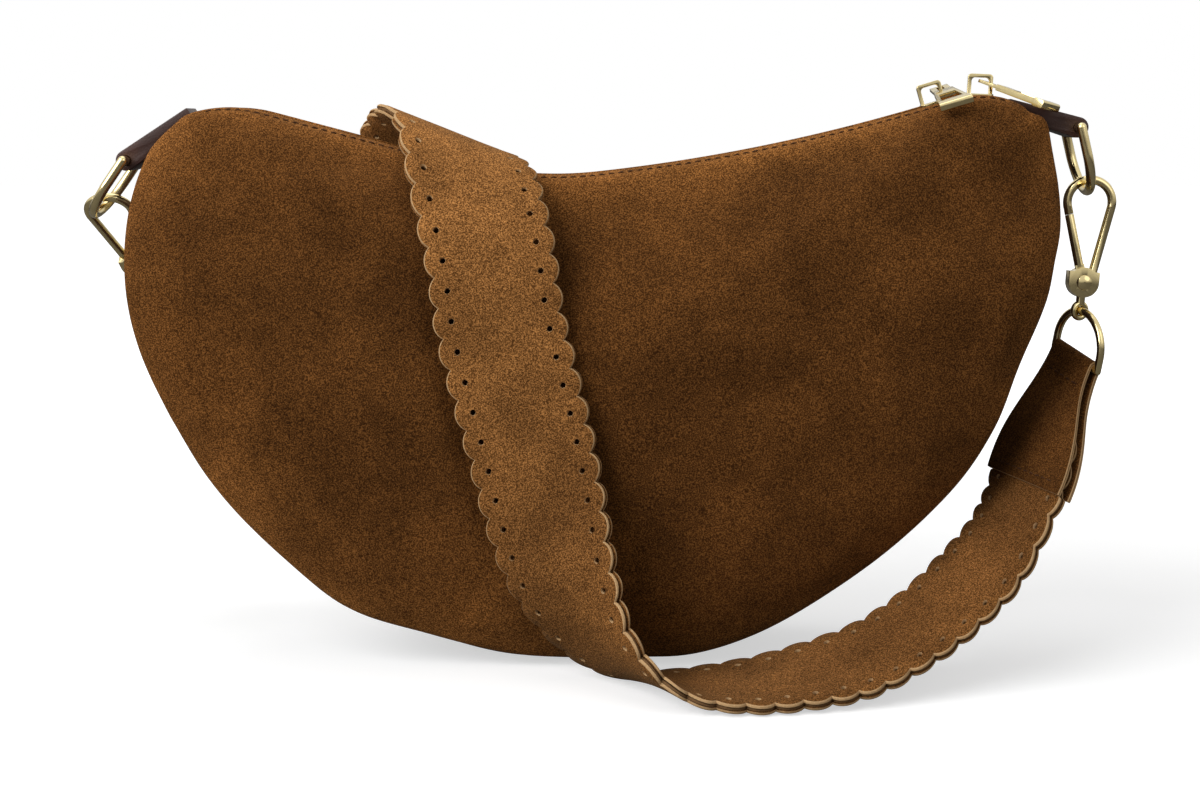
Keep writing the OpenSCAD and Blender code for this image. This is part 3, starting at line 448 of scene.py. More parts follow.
def smooth_leather(name, colour):
    """Full-grain leather, dyed dark and lightly waxed: pebbled grain with a low sheen."""
    m, tree = new_material(name)
    coords = own_coords(tree)
    grain = {"Vector": coords, "Scale": 1 / (1.1 * MM)}
    pebble = add_node(tree, "TexVoronoi", grain, feature="DISTANCE_TO_EDGE").outputs[0]
    wax = speckle(tree, coords, 14, 3.0)
    base = tints(tree, wax, colour, (0.3, 0.7), (0.55, 1), (0.75, 1.35, 0.04))
    return finish_material(m, tree, base, ranged(tree, wax, 0.36, 0.56), 0.5, pebble, 0.22, 0.3)


def plated(name, colour):
    """Zinc alloy, polished and plated pale gold: clear reflections, faint marks and dull hollows."""
    m, tree = new_material(name)
    coords = own_coords(tree)
    wear_and_painted_light = speckle(tree, coords, 3.5, 3.0)
    base = tints(tree, wear_and_painted_light, colour, (0.35, 0.90, 0.01), (0.65, 1))
    rough, marks = ranged(tree, wear_and_painted_light, 0.10, 0.24), speckle(tree, coords, 0.5, 2.0)
    return finish_material(m, tree, base, rough, 0.5, marks, 0.06, 0.05, Metallic=1.0)


def woven(name, colour, thread_mm):
    """Plain weave on the piece's own mm map: threads over and under, with painted shade where they dive."""
    m, tree = new_material(name)
    uv = add_node(tree, "UVMap", uv_map="mm").outputs[0]
    links = {"Vector": uv, "Scale": 1 / thread_mm * WAVE, "Distortion": 0.3, "Detail": 1.0}
    warp, weft = (add_node(tree, "TexWave", links, bands_direction=k).outputs["Fac"] for k in "XY")
    height = joined(tree, warp, weft, "MULTIPLY")
    # painted shade: the weave is painted darker where its threads dive
    base = tints(tree, height, colour, (0.0, 0.55), (0.6, 1), (1.0, 1.3))
    return finish_material(m, tree, base, 0.85, 0.2, height, 0.4, 0.2)


def twisted_thread(name, colour):
    """Polyester sewing thread: two plies seen as slanting bands, with painted shade in the grooves between
    them, dulled by the nap round it.
    """
    m, tree = new_material(name)
    links = {"Vector": own_coords(tree), "Scale": 1 / (0.9 * MM) * WAVE}
    twist = add_node(tree, "TexWave", links, bands_direction="DIAGONAL").outputs["Fac"]
    # painted shade: the grooves between the plies are painted darker
    base = tints(tree, twist, colour, (0.0, 0.7), (1.0, 1.25))
    return finish_material(m, tree, base, 0.75, 0.15, twist, 0.4, 0.1)


def plain_floor(name):
    """A studio floor. The camera sees it run into the white backdrop, with the bag's shadow on it.
    To everything else it is a mid-grey, so that it throws little light back up."""
    m, tree = new_material(name)
    coords = own_coords(tree)
    tone = shades(tree, speckle(tree, coords, 60), ((0.3, (0.62, 0.62, 0.62)), (0.7, (0.64, 0.64, 0.64))))
    paint = add_node(tree, "BsdfDiffuse", {"Color": tone}).outputs[0]
    far = add_node(tree, "VectorMath", {0: coords}, operation="LENGTH").outputs["Value"]
    glow = ranged(tree, far, 0.56, 1.0, **{"From Min": 0.25, "From Max": 1.1})
    lit = add_node(tree, "Emission", {"Color": (1, 1, 1, 1), "Strength": glow}).outputs[0]
    shown = add_node(tree, "AddShader", {0: paint, 1: lit}).outputs[0]
    grey = add_node(tree, "BsdfDiffuse", {"Color": (0.18, 0.175, 0.17, 1)}).outputs[0]
    seen = add_node(tree, "LightPath").outputs["Is Camera Ray"]
    both = add_node(tree, "MixShader", {0: seen, 1: grey, 2: shown}).outputs[0]
    add_node(tree, "OutputMaterial", {0: both})
    return m


# The maker of each of the looks, the material's name and what else the maker asks for
MAKERS = {
    "suede": (suede, "Suede"),
    "strap_suede": (suede, "Strap suede"),
    "cut_edge": (raw_edge, "Cut edge"),
    "core": (raw_edge, "Strap core"),
    "leather": (smooth_leather, "Smooth leather"),
    "metal": (plated, "Pale gold plating"),
    "thread": (twisted_thread, "Sewing thread"),
    "tape": (woven, "Zip tape", 0.7),
    "lining": (woven, "Lining cotton", 1.0),
}
MADE = {}


def material(key):
    """The named material, made on its first use."""
    if key not in MADE:
        maker, name, *more = MAKERS[key]
        MADE[key] = maker(name, getattr(bpy.context.scene.bag_looks, key), *more)
    return MADE[key]


# ---- pieces


def linked(name, data):
    obj = bpy.data.objects.new(name, data)
    bpy.context.scene.collection.objects.link(obj)
    return obj


def piece(name, verts, faces, keys, replaces=(), kinds=None, uvs=None):
    """A new mesh object that rides on the bag, with its materials and the nodes it stands for."""
    used, corners = np.unique(np.concatenate([np.array(f) for f in faces]), return_inverse=True)
    ends = np.cumsum([len(f) for f in faces])
    mesh = bpy.data.meshes.new(name)
    sides = [corners[e - len(f) : e].tolist() for e, f in zip(ends, faces)]
    mesh.from_pydata(np.asarray(verts, float)[used].tolist(), [], sides)
    if kinds is not None:
        mesh.polygons.foreach_set("material_index", np.asarray(kinds, np.int32))
    if uvs is not None:
        layer = mesh.uv_layers.new(name="mm")
        loops = np.empty(len(mesh.loops), np.int32)
        mesh.loops.foreach_get("vertex_index", loops)
        layer.data.foreach_set("uv", np.asarray(uvs, np.float32)[used][loops].ravel())
    mesh.polygons.foreach_set("use_smooth", [True] * len(mesh.polygons))
    mesh.validate()
    obj = linked(name, mesh)
    for key in keys:
        mesh.materials.append(material(key))
    return placed(obj, "bag", replaces)


def placed(obj, body, replaces=()):
    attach(obj, body)
    if replaces:
        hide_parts(*replaces)
    return obj


def modified(obj, kind, **settings):
    """Adds a modifier and applies it."""
    mod = obj.modifiers.new(kind, kind)
    for k, v in settings.items():
        setattr(mod, k, v)
    mesh = bpy.data.meshes.new_from_object(obj.evaluated_get(bpy.context.evaluated_depsgraph_get()))
    obj.modifiers.clear()
    old, obj.data = obj.data, mesh
    bpy.data.meshes.remove(old)


def rounded(obj, radius, angle, **settings):
    """Rounds the edges that are sharper than an angle in degrees."""
    settings |= {"limit_method": "ANGLE", "angle_limit": math.radians(angle)}
    modified(obj, "BEVEL", width=radius, **settings)


def sharp_by_angle(obj, degrees):
    """Smooth shading with sharp edges above an angle."""
    bm = bmesh.new()
    bm.from_mesh(obj.data)
    for f in bm.faces:
        f.smooth = True
    for e in bm.edges:
        e.smooth = e.calc_face_angle(0) < math.radians(degrees)
    bm.to_mesh(obj.data)
    bm.free()


def polished(node, radius, key="metal", angle=32):
    """A copy of a rigid node with its edges rounded as casting and polishing leave them."""
    src = frame["nodes"][node]
    bm = bmesh.new()
    bm.from_mesh(src.data)
    bmesh.ops.remove_doubles(bm, verts=bm.verts, dist=0.002 * MM)
    bmesh.ops.dissolve_limit(bm, angle_limit=math.radians(0.5), verts=bm.verts, edges=bm.edges)
    mesh = bpy.data.meshes.new(node + "_shape")
    bm.to_mesh(mesh)
    bm.free()
    obj = linked(f"{node}_{key}", mesh)
    mesh.materials.append(material(key))
    rounded(obj, radius, angle, segments=3, use_clamp_overlap=True)
    sharp_by_angle(obj, 50)
    return placed(obj, src["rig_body"], (node,))


def grid_faces(rows, cols, closed=False, start=0, flip=False):
    """Quads of a grid of rows by cols points."""
    out = []
    for i in range(rows - 1):
        for k in range(cols if closed else cols - 1):
            a, b = start + i * cols + k, start + i * cols + (k + 1) % cols
            q = (a, b, b + cols, a + cols)
            out.append(q[::-1] if flip else q)
    return out


# One stitch: where along its length, how high over the surface in threads, how thick in threads
STITCH = (
    (0, -0.75, 0.25), (0.12, 0.05, 0.85), (0.35, 0.42, 1),
    (0.65, 0.42, 1), (0.88, 0.05, 0.85), (1, -0.75, 0.25),
)


def thread_run(points, normals, sizes, sides=6):
    """Rows of short rounded stitches along a line that lies on a surface."""
    run, (share, high, wide) = run_along(points), np.array(STITCH).T
    lift, size = high * sizes.thread, wide * sizes.thread / 2
    verts, faces = [], []
    s = sizes.stitch_gap
    while s + sizes.stitch < run[-1]:
        at = share * sizes.stitch + s
        c, n = sampled(at, run, points), unit(sampled(at, run, normals))
        side = np.cross(unit(sampled(at + 0.1 * MM, run, points) - sampled(at - 0.1 * MM, run, points)), n)
        start, last = len(verts), len(verts) + (len(at) - 1) * sides
        for j in range(len(at)):
            for a in 2 * math.pi * np.arange(sides) / sides:
                up = n[j] * (lift[j] + size[j] * math.sin(a))
                verts.append(c[j] + up + side[j] * size[j] * math.cos(a))
        faces += grid_faces(len(at), sides, True, start, True)
        faces += [tuple(range(start, start + sides)), tuple(reversed(range(last, last + sides)))]
        s += sizes.stitch + sizes.stitch_gap
    return verts, faces


# ---- body


TRIANGLE = 0.87  # height of an even triangle as a share of its side
PANEL_ROWS = np.array([0.0, 0.45, 1.0, 1.7, 2.6, 4.0]) * MM  # how far inside the rim the first rows lie
ZIP_FOLD = (-0.9, -0.1, 0.1, -0.1, -0.1, 0.0)  # mm that these rows stand out in the fold by the zip
ROLL_IN, ROLL_OUT = np.array([0.35, 1.3, 3.0]) * MM, np.array([-1.3, -1.5, -1.5]) * MM
HELD_ROWS = 3  # of the rows from the rim, the ones that the seams hold


def even_points(rim, grid):
    """The corners of even triangles that lie well inside the rim's rows."""
    low, high = rim.points.min(0), rim.points.max(0)
    out = []
    for r in range(int((high[1] - low[1]) / (grid * TRIANGLE)) + 1):
        z = low[1] + r * grid * TRIANGLE
        out += [(x, z) for x in np.arange(low[0] + (r % 2) * grid / 2, high[0], grid)]
    out = np.array(out)
    return out[rim.inset(*out.T) > PANEL_ROWS[-1] + grid * 0.55]


def panel_sheet(rim, grid, side):
    """A panel as one sheet of even triangles, with its rim rolled over to the inside.
    Returns its points, its faces and which of the points the seams hold."""
    toward, n = rim.toward(), rim.n
    flat = np.concatenate([rim.points + toward * d for d in PANEL_ROWS])
    # by the zip the edge is folded and sewn flat; along the seam it only rounds over
    folded = np.outer(ZIP_FOLD, np.arange(n) < rim.zip_n).ravel() * MM
    field = even_points(rim, grid)
    pts = [Vector(p) for p in np.concatenate([flat[-n:], field])]
    loop = [(k, (k + 1) % n) for k in range(n)]
    out_v, _, out_f, orig, _, _ = delaunay_2d_cdt(pts, loop, [], 1, 1e-7)
    base, place, extra = len(flat) - n, [], []
    for i, src in enumerate(orig):
        place.append(base + (src[0] if src else len(pts) + len(extra)))
        if not src:
            extra.append(tuple(out_v[i]))
    field = np.concatenate([field, np.array(extra).reshape(-1, 2)])
    # the roll: over the rim and down inside, against the tape or the gusset
    roll = np.concatenate([rim.seam + toward * d for d in ROLL_IN])
    sheet = np.concatenate([flat, field, roll])
    stand = np.concatenate([rim.out(*flat.T) + folded, rim.out(*field.T), *(rim.edge + d for d in ROLL_OUT)])
    start = len(sheet) - len(roll)
    faces = grid_faces(len(PANEL_ROWS), n, True, flip=True) + [tuple(place[i] for i in f) for f in out_f]
    faces += [(a, b, start + b, start + a) for a, b in loop] + grid_faces(len(ROLL_IN), n, True, start)
    verts = np.stack([sheet[:, 0], side * stand, sheet[:, 1]], axis=1)
    i = np.arange(len(verts))
    # the back panel is the mirror, so its faces turn round
    return verts, [f if side < 0 else f[::-1] for f in faces], (i < HELD_ROWS * n) | (i >= start)


CLOTH = {
    "quality": 6, "mass": 0.35, "air_damping": 2.0, "tension_stiffness": 18, "compression_stiffness": 18,
    "shear_stiffness": 8, "bending_stiffness": 1.2, "use_pressure": True, "uniform_pressure_force": 4.0,
}
MOST_SUNK = 5 * MM


def settle(obj, held, slack, frames, caps, ease):
    """Lets a panel's cloth fill out under the stuffing, then caps how far each point may go
    and eases that in from the seams."""
    scene, start = bpy.context.scene, np.array([v.co for v in obj.data.vertices])
    group = obj.vertex_groups.new(name="seams")
    group.add([int(i) for i in np.nonzero(held)[0]], 1.0, "REPLACE")
    mod = obj.modifiers.new("Cloth", "CLOTH")
    for k, v in CLOTH.items():
        setattr(mod.settings, k, v)
    mod.settings.vertex_group_mass = "seams"
    mod.settings.shrink_min = -slack
    mod.settings.effector_weights.gravity = 0
    mod.collision_settings.use_collision = False
    mod.point_cache.frame_start, mod.point_cache.frame_end = 1, frames
    for f in range(1, frames + 1):
        scene.frame_set(f)
    moved = obj.evaluated_get(bpy.context.evaluated_depsgraph_get()).data
    d = np.array([v.co for v in moved.vertices]) - start
    obj.modifiers.clear()
    scene.frame_set(1)
    far = np.linalg.norm(d, axis=1)
    limit = np.where(d[:, 1] * np.sign(start[:, 1]) > 0, caps, MOST_SUNK)
    k = np.where(far > 1e-9, limit * np.tanh(far / np.maximum(limit, 1e-6)) / np.maximum(far, 1e-9), 0)
    obj.data.vertices.foreach_set("co", (start + d * (k * ease)[:, None]).astype(np.float32).ravel())
    obj.data.update()


def search_tree(points):
    tree = KDTree(len(points))
    for i, p in enumerate(points):
        tree.insert(p, i)
    tree.balance()
    return tree


def strap_room(verts, route, most):
    """How far each point of a panel may swell before it meets the strap."""
    s, t = np.meshgrid(np.linspace(0, route.length, 260), np.linspace(-1, 1, 13) * STRAP_W / 2)
    faces = [route.point(s.ravel(), t.ravel(), np.full(s.size, h)) for h in (-STRAP_T / 2, STRAP_T / 2)]
    tree = search_tree(np.concatenate(faces))
    return np.array([min(most, max(0.0, tree.find(v)[2] - STRAP_CLEAR)) for v in verts])


def soft_waves(verts, side, size):
    """Slow hollows and swells, as stuffing leaves in soft suede, in the direction out of the panel."""
    slow = [noise.noise(Vector((x * 17, 7.3 * side, z * 19))) for x, _, z in verts]
    quick = [noise.noise(Vector((x * 45 + 3, 2.1 * side, z * 52))) for x, _, z in verts]
    return (np.array(slow) + np.array(quick) * 0.35) * size


STRAP_CLEAR = 1.4 * MM  # least room between a panel and the strap
SEWN, FULL_AT = 1.1 * MM, 1.6 * MM  # from the panels' edge to the stitches, and on to the swell between them
SUNK, FULL = 0.4 * MM, 0.35 * MM  # how far a stitch draws the suede in, and how far it swells
PUCKER_REACH = 9 * MM


def stitch_line(inset):
    """The line that lies inset from the panels' edge by the zip, and its run from the left end."""
    f = zip_frames(0.5 * MM)
    down = np.stack([np.sin(f[:, 2]), -np.cos(f[:, 2])], axis=1)
    return lip_line(f) + down * inset, np.linspace(0, ZIP_L, len(f))


def pucker(obj, side, pitch):
    """Draws the suede in along the stitches by the zip, so that it swells a little between them."""
    line, run = stitch_line(0)
    tree = search_tree([(x, 0, z) for x, z in line])
    bell = lambda far, wide: math.exp(-((far / wide) ** 2))
    for v in obj.data.vertices:
        if v.co.z < 0.7 * BAG_H or v.co.y * side < MOUTH_W / 2:
            continue
        _, i, far = tree.find((v.co.x, 0, v.co.z))
        if far > PUCKER_REACH:
            continue
        beat = 0.5 - 0.5 * math.cos(2 * math.pi * run[i] / pitch)
        sunk = SUNK * bell(far - SEWN, 0.5 * MM) * (0.2 + 0.8 * beat)
        full = FULL * bell(far - SEWN - FULL_AT, FULL_AT) * (1 - 0.5 * beat)
        v.co += Vector((0, side * 0.8, 0.6)) * (full - sunk)
    obj.data.update()


def painted_light_map(obj, share):
    """Stores how far the nap is painted paler at each point, as painted light, from 0 to 1."""
    co = np.empty(3 * len(obj.data.vertices), np.float32)
    obj.data.vertices.foreach_get("co", co)
    rub = share(*co.reshape(-1, 3).T)
    obj.data.attributes.new("rub", "FLOAT", "POINT").data.foreach_set("value", rub.astype(np.float32))


def painted_panel_light(obj, rim):
    """Painted light on a panel: its nap is painted palest on the fold by the zip, where light from above
    falls, and at the foot and faintly over its low left part, where light from the left falls.
    """

    def share(x, y, z):
        inset, edge = np.maximum(0, rim.inset(x, z)), rim.around(x, z)[1]
        by_zip = 1 - smooth((edge - MOUTH_W / 2) / (6 * MM))
        by_foot = smooth((0.3 * BAG_H - z) / (0.25 * BAG_H)) * smooth(0.5 - x / (0.25 * BAG_W))
        low = smooth((0.6 * BAG_H - z) / (0.35 * BAG_H)) * smooth(0.1 - x / (0.25 * BAG_W))
        fold = np.exp(-inset / (9 * MM)) * (0.3 + 0.6 * by_zip + 0.6 * by_foot)
        return fold + 0.4 * np.exp(-inset / (25 * MM)) * low

    painted_light_map(obj, share)


class BAG_OT_panels(bpy.types.Operator):
    """Front and back panels: two sheets of suede that the stuffing fills out"""

    bl_idname = "bag.panels"
    bl_label = "Panels"

    def execute(self, context):
        sizes = context.scene.bag_sizes
        rim, route = Rim(3.0 * MM, 2.0 * MM, full=True), Route()
        for side, node in ((-1, "front_panel"), (1, "back_panel")):
            verts, faces, held = panel_sheet(rim, sizes.grid, side)
            inset = rim.inset(verts[:, 0], verts[:, 2])
            wave = soft_waves(verts, side, 1.6 * MM) * smooth((inset - 5 * MM) / (30 * MM))
            verts[:, 1] += side * np.minimum(wave, strap_room(verts, route, 4.5 * MM) * 0.6)
            obj = piece(node + "_suede", verts, faces, ("suede",), (node,))
            room = strap_room(verts, route, 4.0 * MM)
            settle(obj, held, sizes.slack, sizes.settle_frames, room, smooth(inset / (16 * MM)))
            modified(obj, "SUBSURF", levels=1, render_levels=1)
            pucker(obj, side, sizes.stitch + sizes.stitch_gap)
            # painted light: the panel's nap is painted paler where light falls on it
            painted_panel_light(obj, rim)
        return {"FINISHED"}


# Rows of points across the gusset, as shares of its half width
GUSSET_ROWS = (-1, -0.97, -0.9, -0.75, -0.5, -0.2, 0.2, 0.5, 0.75, 0.9, 0.97, 1)
GUSSET_UNDER, GUSSET_DIP, UNEVEN = 0.3 * MM, 0.8 * MM, 0.5 * MM


class BAG_OT_gusset(bpy.types.Operator):
    """Gusset: the leather strip round the bottom and sides, swollen out between its seams"""

    bl_idname = "bag.gusset"
    bl_label = "Gusset"

    def execute(self, context):
        rim = Rim(3.0 * MM)
        js = np.arange(rim.zip_n - 1, rim.n + 1) % rim.n
        p, e = rim.points[js], rim.edge[js]
        ahead, toward, run = unit(np.gradient(p, axis=0)), unit(MID - p), run_along(p)
        outward = np.stack([-ahead[:, 1], ahead[:, 0]], axis=1)
        crown = CROWN * smooth((e - MOUTH_W / 2) / (GUSSET_W - MOUTH_W) * 2)
        verts = []
        for j in range(len(p)):
            for share in GUSSET_ROWS:
                uneven = UNEVEN * noise.noise(Vector((run[j] * 30, share * 1.2, 4)))
                lift = (crown[j] * (1 - abs(share) ** 3) + uneven) * (abs(share) < 1)
                dip = GUSSET_DIP * max(0, (abs(share) - 0.9) / 0.1)
                w = p[j] + outward[j] * lift + toward[j] * (GUSSET_UNDER + dip)
                verts.append((w[0], share * (e[j] - 0.2 * MM), max(w[1], 0.0)))
        faces = grid_faces(len(p), len(GUSSET_ROWS), flip=True)
        obj = piece("gusset_leather", verts, faces, ("leather",), ("gusset",))
        modified(obj, "SOLIDIFY", thickness=1.2 * MM, offset=-1)
        return {"FINISHED"}


# Rows of points from the lining's edge to its middle, as shares of the way
LINING_ROWS = (0, 0.03, 0.08, 0.16, 0.3, 0.5, 0.75, 0.97)
LINING_IN, LINING_OPEN = 9 * MM, 9 * MM  # inside the panels, and from the middle plane under the zip
# Where its edge lies: in mm inside the rim by the zip and by the seam, and how far behind the panels' edge
BY_ZIP, BY_SEAM, LINING_SEWN = 2.8, 3.4, 2.1 * MM


class BAG_OT_lining(bpy.types.Operator):
    """Lining: thin cotton that follows the panels and the gusset inside, open under the zip"""

    bl_idname = "bag.lining"
    bl_label = "Lining"

    def execute(self, context):
        rim = Rim(8.0 * MM)
        toward, n = rim.toward(), rim.n
        first = np.where(np.arange(n) < rim.zip_n, BY_ZIP, BY_SEAM)[:, None] * MM
        verts, faces, uvs = [], [], []
        for side in (-1, 1):
            start = len(verts)
            for share in LINING_ROWS:
                flat = rim.points + toward * (first + (rim.radius[:, None] - first) * share)
                y = rim.out(*flat.T, LINING_IN) if share else rim.edge - LINING_SEWN
                verts += [(f[0], side * max(v, LINING_OPEN), f[1]) for f, v in zip(flat, y)]
                uvs += [(f[0] / MM, f[1] / MM) for f in flat]
            faces += grid_faces(len(LINING_ROWS), n, True, start, side > 0)
            ring = tuple(range(len(verts) - n, len(verts)))
            faces.append(ring if side < 0 else ring[::-1])
        back = len(LINING_ROWS) * n
        faces += [(k, back + k, back + k + 1, k + 1) for k in range(rim.zip_n, n - 1)]
        piece("lining_cotton", verts, faces, ("lining",), ("lining",), uvs=uvs)
        return {"FINISHED"}


# ---- zip


TAPE_W = 12 * MM
# A tape's cross-section: distance from the zip line and height over it
TAPE = (
    (ROW_OUT, 0), (ROW_OUT + 0.3 * MM, 0.05 * MM), (7 * MM, 0.02 * MM),
    (TAPE_W, 0), (TAPE_W, -TAPE_T), (ROW_OUT, -TAPE_T),
)


class BAG_OT_zip(bpy.types.Operator):
    """Zip: two woven tapes, the teeth, the end stops, the sliders and their pulls"""

    bl_idname = "bag.zip"
    bl_label = "Zip"

    def execute(self, context):
        f, n = zip_frames(2.0 * MM), len(TAPE)
        last = (len(f) - 1) * n
        for side, node in ((-1, "zip_tape_front"), (1, "zip_tape_back")):
            verts = [(x - h * math.sin(a), side * y, z + h * math.cos(a)) for x, z, a in f for y, h in TAPE]
            uvs = [(s / MM, (y + h) / MM) for s in np.linspace(0, ZIP_L, len(f)) for y, h in TAPE]
            faces = grid_faces(len(f), n, True) + [tuple(range(n))[::-1], tuple(range(last, last + n))]
            faces = faces if side < 0 else [q[::-1] for q in faces]
            obj = piece(node + "_weave", verts, faces, ("tape",), (node,), uvs=uvs)
            sharp_by_angle(obj, 40)
        for node in ("zip_teeth_front", "zip_teeth_back", "zip_end_stops"):
            polished(node, 0.22 * MM)
        for side in ("left", "right"):
            polished("slider_" + side, 0.3 * MM)
            polished("pull_" + side, 0.25 * MM)
        return {"FINISHED"}


# ---- hardware


class BAG_OT_hardware(bpy.types.Operator):
    """D-rings, strap loops, swivel studs and trigger clasps in polished plating"""

    bl_idname = "bag.hardware"
    bl_label = "Hardware"

    def execute(self, context):
        for side in ("left", "right"):
            for name in ("d_ring_", "strap_loop_", "swivel_stud_", "gate_spring_"):
                polished(name + side, 0.05 * MM, angle=50)
            for name, r in (("clasp_frame_", 0.25), ("clasp_gate_", 0.2), ("gate_rivet_", 0.12)):
                polished(name + side, r * MM, angle=45)
        return {"FINISHED"}


class BAG_OT_end_tabs(bpy.types.Operator):
    """End tabs: folded smooth leather round each D-ring's bar"""

    bl_idname = "bag.end_tabs"
    bl_label = "End tabs"

    def execute(self, context):
        for side in ("left", "right"):
            polished("end_tab_" + side, 0.5 * MM, "leather", 40)
        return {"FINISHED"}


# ---- strap


HOLE_SIDES = 14


def scallop_cell(sizes, trim, steps=12):
    """One scallop of the strap laid flat, from notch to notch, with its two punched holes: points
    as shares of the pitch and distances from the middle, where each lies on the cut, and triangles."""
    u = np.linspace(0, 1, steps + 1)
    half, hole = STRAP_W / 2 - trim, STRAP_W / 2 - sizes.hole_inset
    edge = half - SCALLOP_R + np.sqrt(SCALLOP_R**2 - ((u - 0.5) * PITCH) ** 2)
    both = [(a, b, 1) for a, b in zip(u, edge)] + [(a, b, -1) for a, b in zip(u[::-1], edge[::-1])]
    pts, cut = [(a, k * (b - FRAY)) for a, b, k in both], [(a, k * b) for a, b, k in both]
    edges = [(i, (i + 1) % len(pts)) for i in range(len(pts))]
    for side in (1, -1):
        start = len(pts)
        for r, row in ((sizes.hole + PUNCHED, pts), (sizes.hole, cut)):
            for a in 2 * math.pi * np.arange(HOLE_SIDES) / HOLE_SIDES:
                row.append((0.5 + r * math.cos(a) / PITCH, side * hole + r * math.sin(a)))
        edges += [(start + k, start + (k + 1) % HOLE_SIDES) for k in range(HOLE_SIDES)]
    inner = [(a, b) for a in (0.0, 0.25, 0.5, 0.75, 1.0) for b in np.linspace(-0.6, 0.6, 9) * half]
    pts, cut = pts + inner, cut + inner
    laid = [Vector((a * PITCH, b)) for a, b in pts]
    out_v, _, out_f, orig, _, _ = delaunay_2d_cdt(laid, edges, [], 1, 1e-7)
    tris = []
    for f in out_f:
        c = sum((Vector(out_v[i]) for i in f), Vector((0, 0))) / len(f)
        if all((c - Vector((0.5 * PITCH, s * hole))).length > sizes.hole for s in (1, -1)):
            tris.append(tuple(f))
    return np.array([pts[o[0]] for o in orig]), np.array([cut[o[0]] for o in orig]), tris


def strap_layer(route, sizes, shown, hidden, trim):
    """One layer of the strap, from the height of the side that shows to that of the other:
    faces, then the cut sides, which slope a little where the fibres fray."""
    cell, cut, tris = scallop_cell(sizes, trim)
    first = math.ceil(STRAP_HIDDEN / PITCH) * PITCH
    seen, flat, rim, faces = {}, [], [], []
    for c in range(int((route.length - 2 * first) / PITCH)):
        ids = []
        for (a, b), (ca, cb) in zip(cell, cut):
            key = (round((c + a) * 400), round(b / MM * 200))
            if key not in seen:
                seen[key] = len(flat)
                flat.append((first + (c + a) * PITCH, b))
                rim.append((first + (c + ca) * PITCH, cb))
            ids.append(seen[key])
        faces += [tuple(ids[i] for i in f) for f in tris]
    n, slope = len(flat), math.copysign(min(FRAY, 0.4 * abs(shown - hidden)), shown - hidden)
    rows = []
    for points, h in ((flat, shown), (rim, shown - slope), (rim, hidden)):
        s, t = np.array(points).T
        by_tab = UNDER_TAB * (np.minimum(s, route.length - s) < TAB_COVER)
        t = t * (1 - (route.taper(s) + by_tab) / (STRAP_W / 2))
        wobble = [WOBBLE * noise.noise(Vector((a * 22, b * 30, 0.5))) for a, b in zip(s, t)]
        rows.append(route.point(s, t, h + np.array(wobble)))
    sides = {(f[i], f[(i + 1) % 3]) for f in faces for i in range(3)}
    border = sorted((a, b) for a, b in sides if (b, a) not in sides)
    walls = [(b + k * n, a + k * n, a + k * n + n, b + k * n + n) for a, b in border for k in (0, 1)]
    every = faces + [tuple(i + 2 * n for i in f[::-1]) for f in faces] + walls
    if shown > hidden:
        every = [f[::-1] for f in every]
    return np.concatenate(rows), every, [0] * (2 * len(faces)) + [1] * len(walls)


class BAG_OT_strap(bpy.types.Operator):
    """Strap: two layers of suede on a core, scalloped and punched along both edges"""

    bl_idname = "bag.strap"
    bl_label = "Strap"

    def execute(self, context):
        route, h = Route(), STRAP_T / 2
        for name, shown, hidden, trim, keys in (
            ("strap_face_layer", h, FACE_IN, 0.0, ("strap_suede", "cut_edge")),
            ("strap_core_layer", CORE_OUT, -CORE_OUT, CORE_TRIM, ("core", "core")),
            ("strap_inner_layer", -h, -FACE_IN, INNER_TRIM, ("strap_suede", "cut_edge")),
        ):
            verts, faces, kinds = strap_layer(route, context.scene.bag_sizes, shown, hidden, trim)
            obj = piece(name, verts, faces, keys, ("strap",), kinds)
            sharp_by_angle(obj, 50)
            # painted highlight: the strap's nap is painted palest high up over the mouth, where light from
            # above falls on it
            painted_light_map(obj, lambda x, y, z: 0.42 * smooth((z - 0.04) / 0.11))
        return {"FINISHED"}


def tab_stand(d):
    """How far a tab's inner side stands off the strap's middle, d from the loop's bar."""
    return STRAP_T / 2 + TAB_PLAY + (SLEEVE - STRAP_T / 2) * (1 - smooth(d / STRAP_HIDDEN))


def tab_path(route, from_end):
    """The way of a strap end tab: along one face of the strap, round the loop's bar and back.
    Rows of place, across, out, half width."""
    rows, wrap = [], []
    for side in (1, -1):
        for d in np.linspace(TAB_COVER, 0.6 * SLEEVE, 26):
            s = route.length - d if from_end else d
            place, across, face = route.at(s)
            out = face * side
            rows.append((place + out * tab_stand(d), across, out, STRAP_W / 2 - route.taper(s)))
    end, near = (route.length, route.length - 1 * MM) if from_end else (0.0, 1 * MM)
    place, across, face = route.at(end)
    back = unit(place - route.at(near)[0])
    for a in np.radians(np.arange(70, -71, -14)):
        out = face * math.sin(a) + back * math.cos(a)
        wrap.append((place + out * SLEEVE, across, out, LOOP_W / 2 - 0.2 * MM))
    half = len(rows) // 2
    return rows[:half] + wrap + rows[half:][::-1]


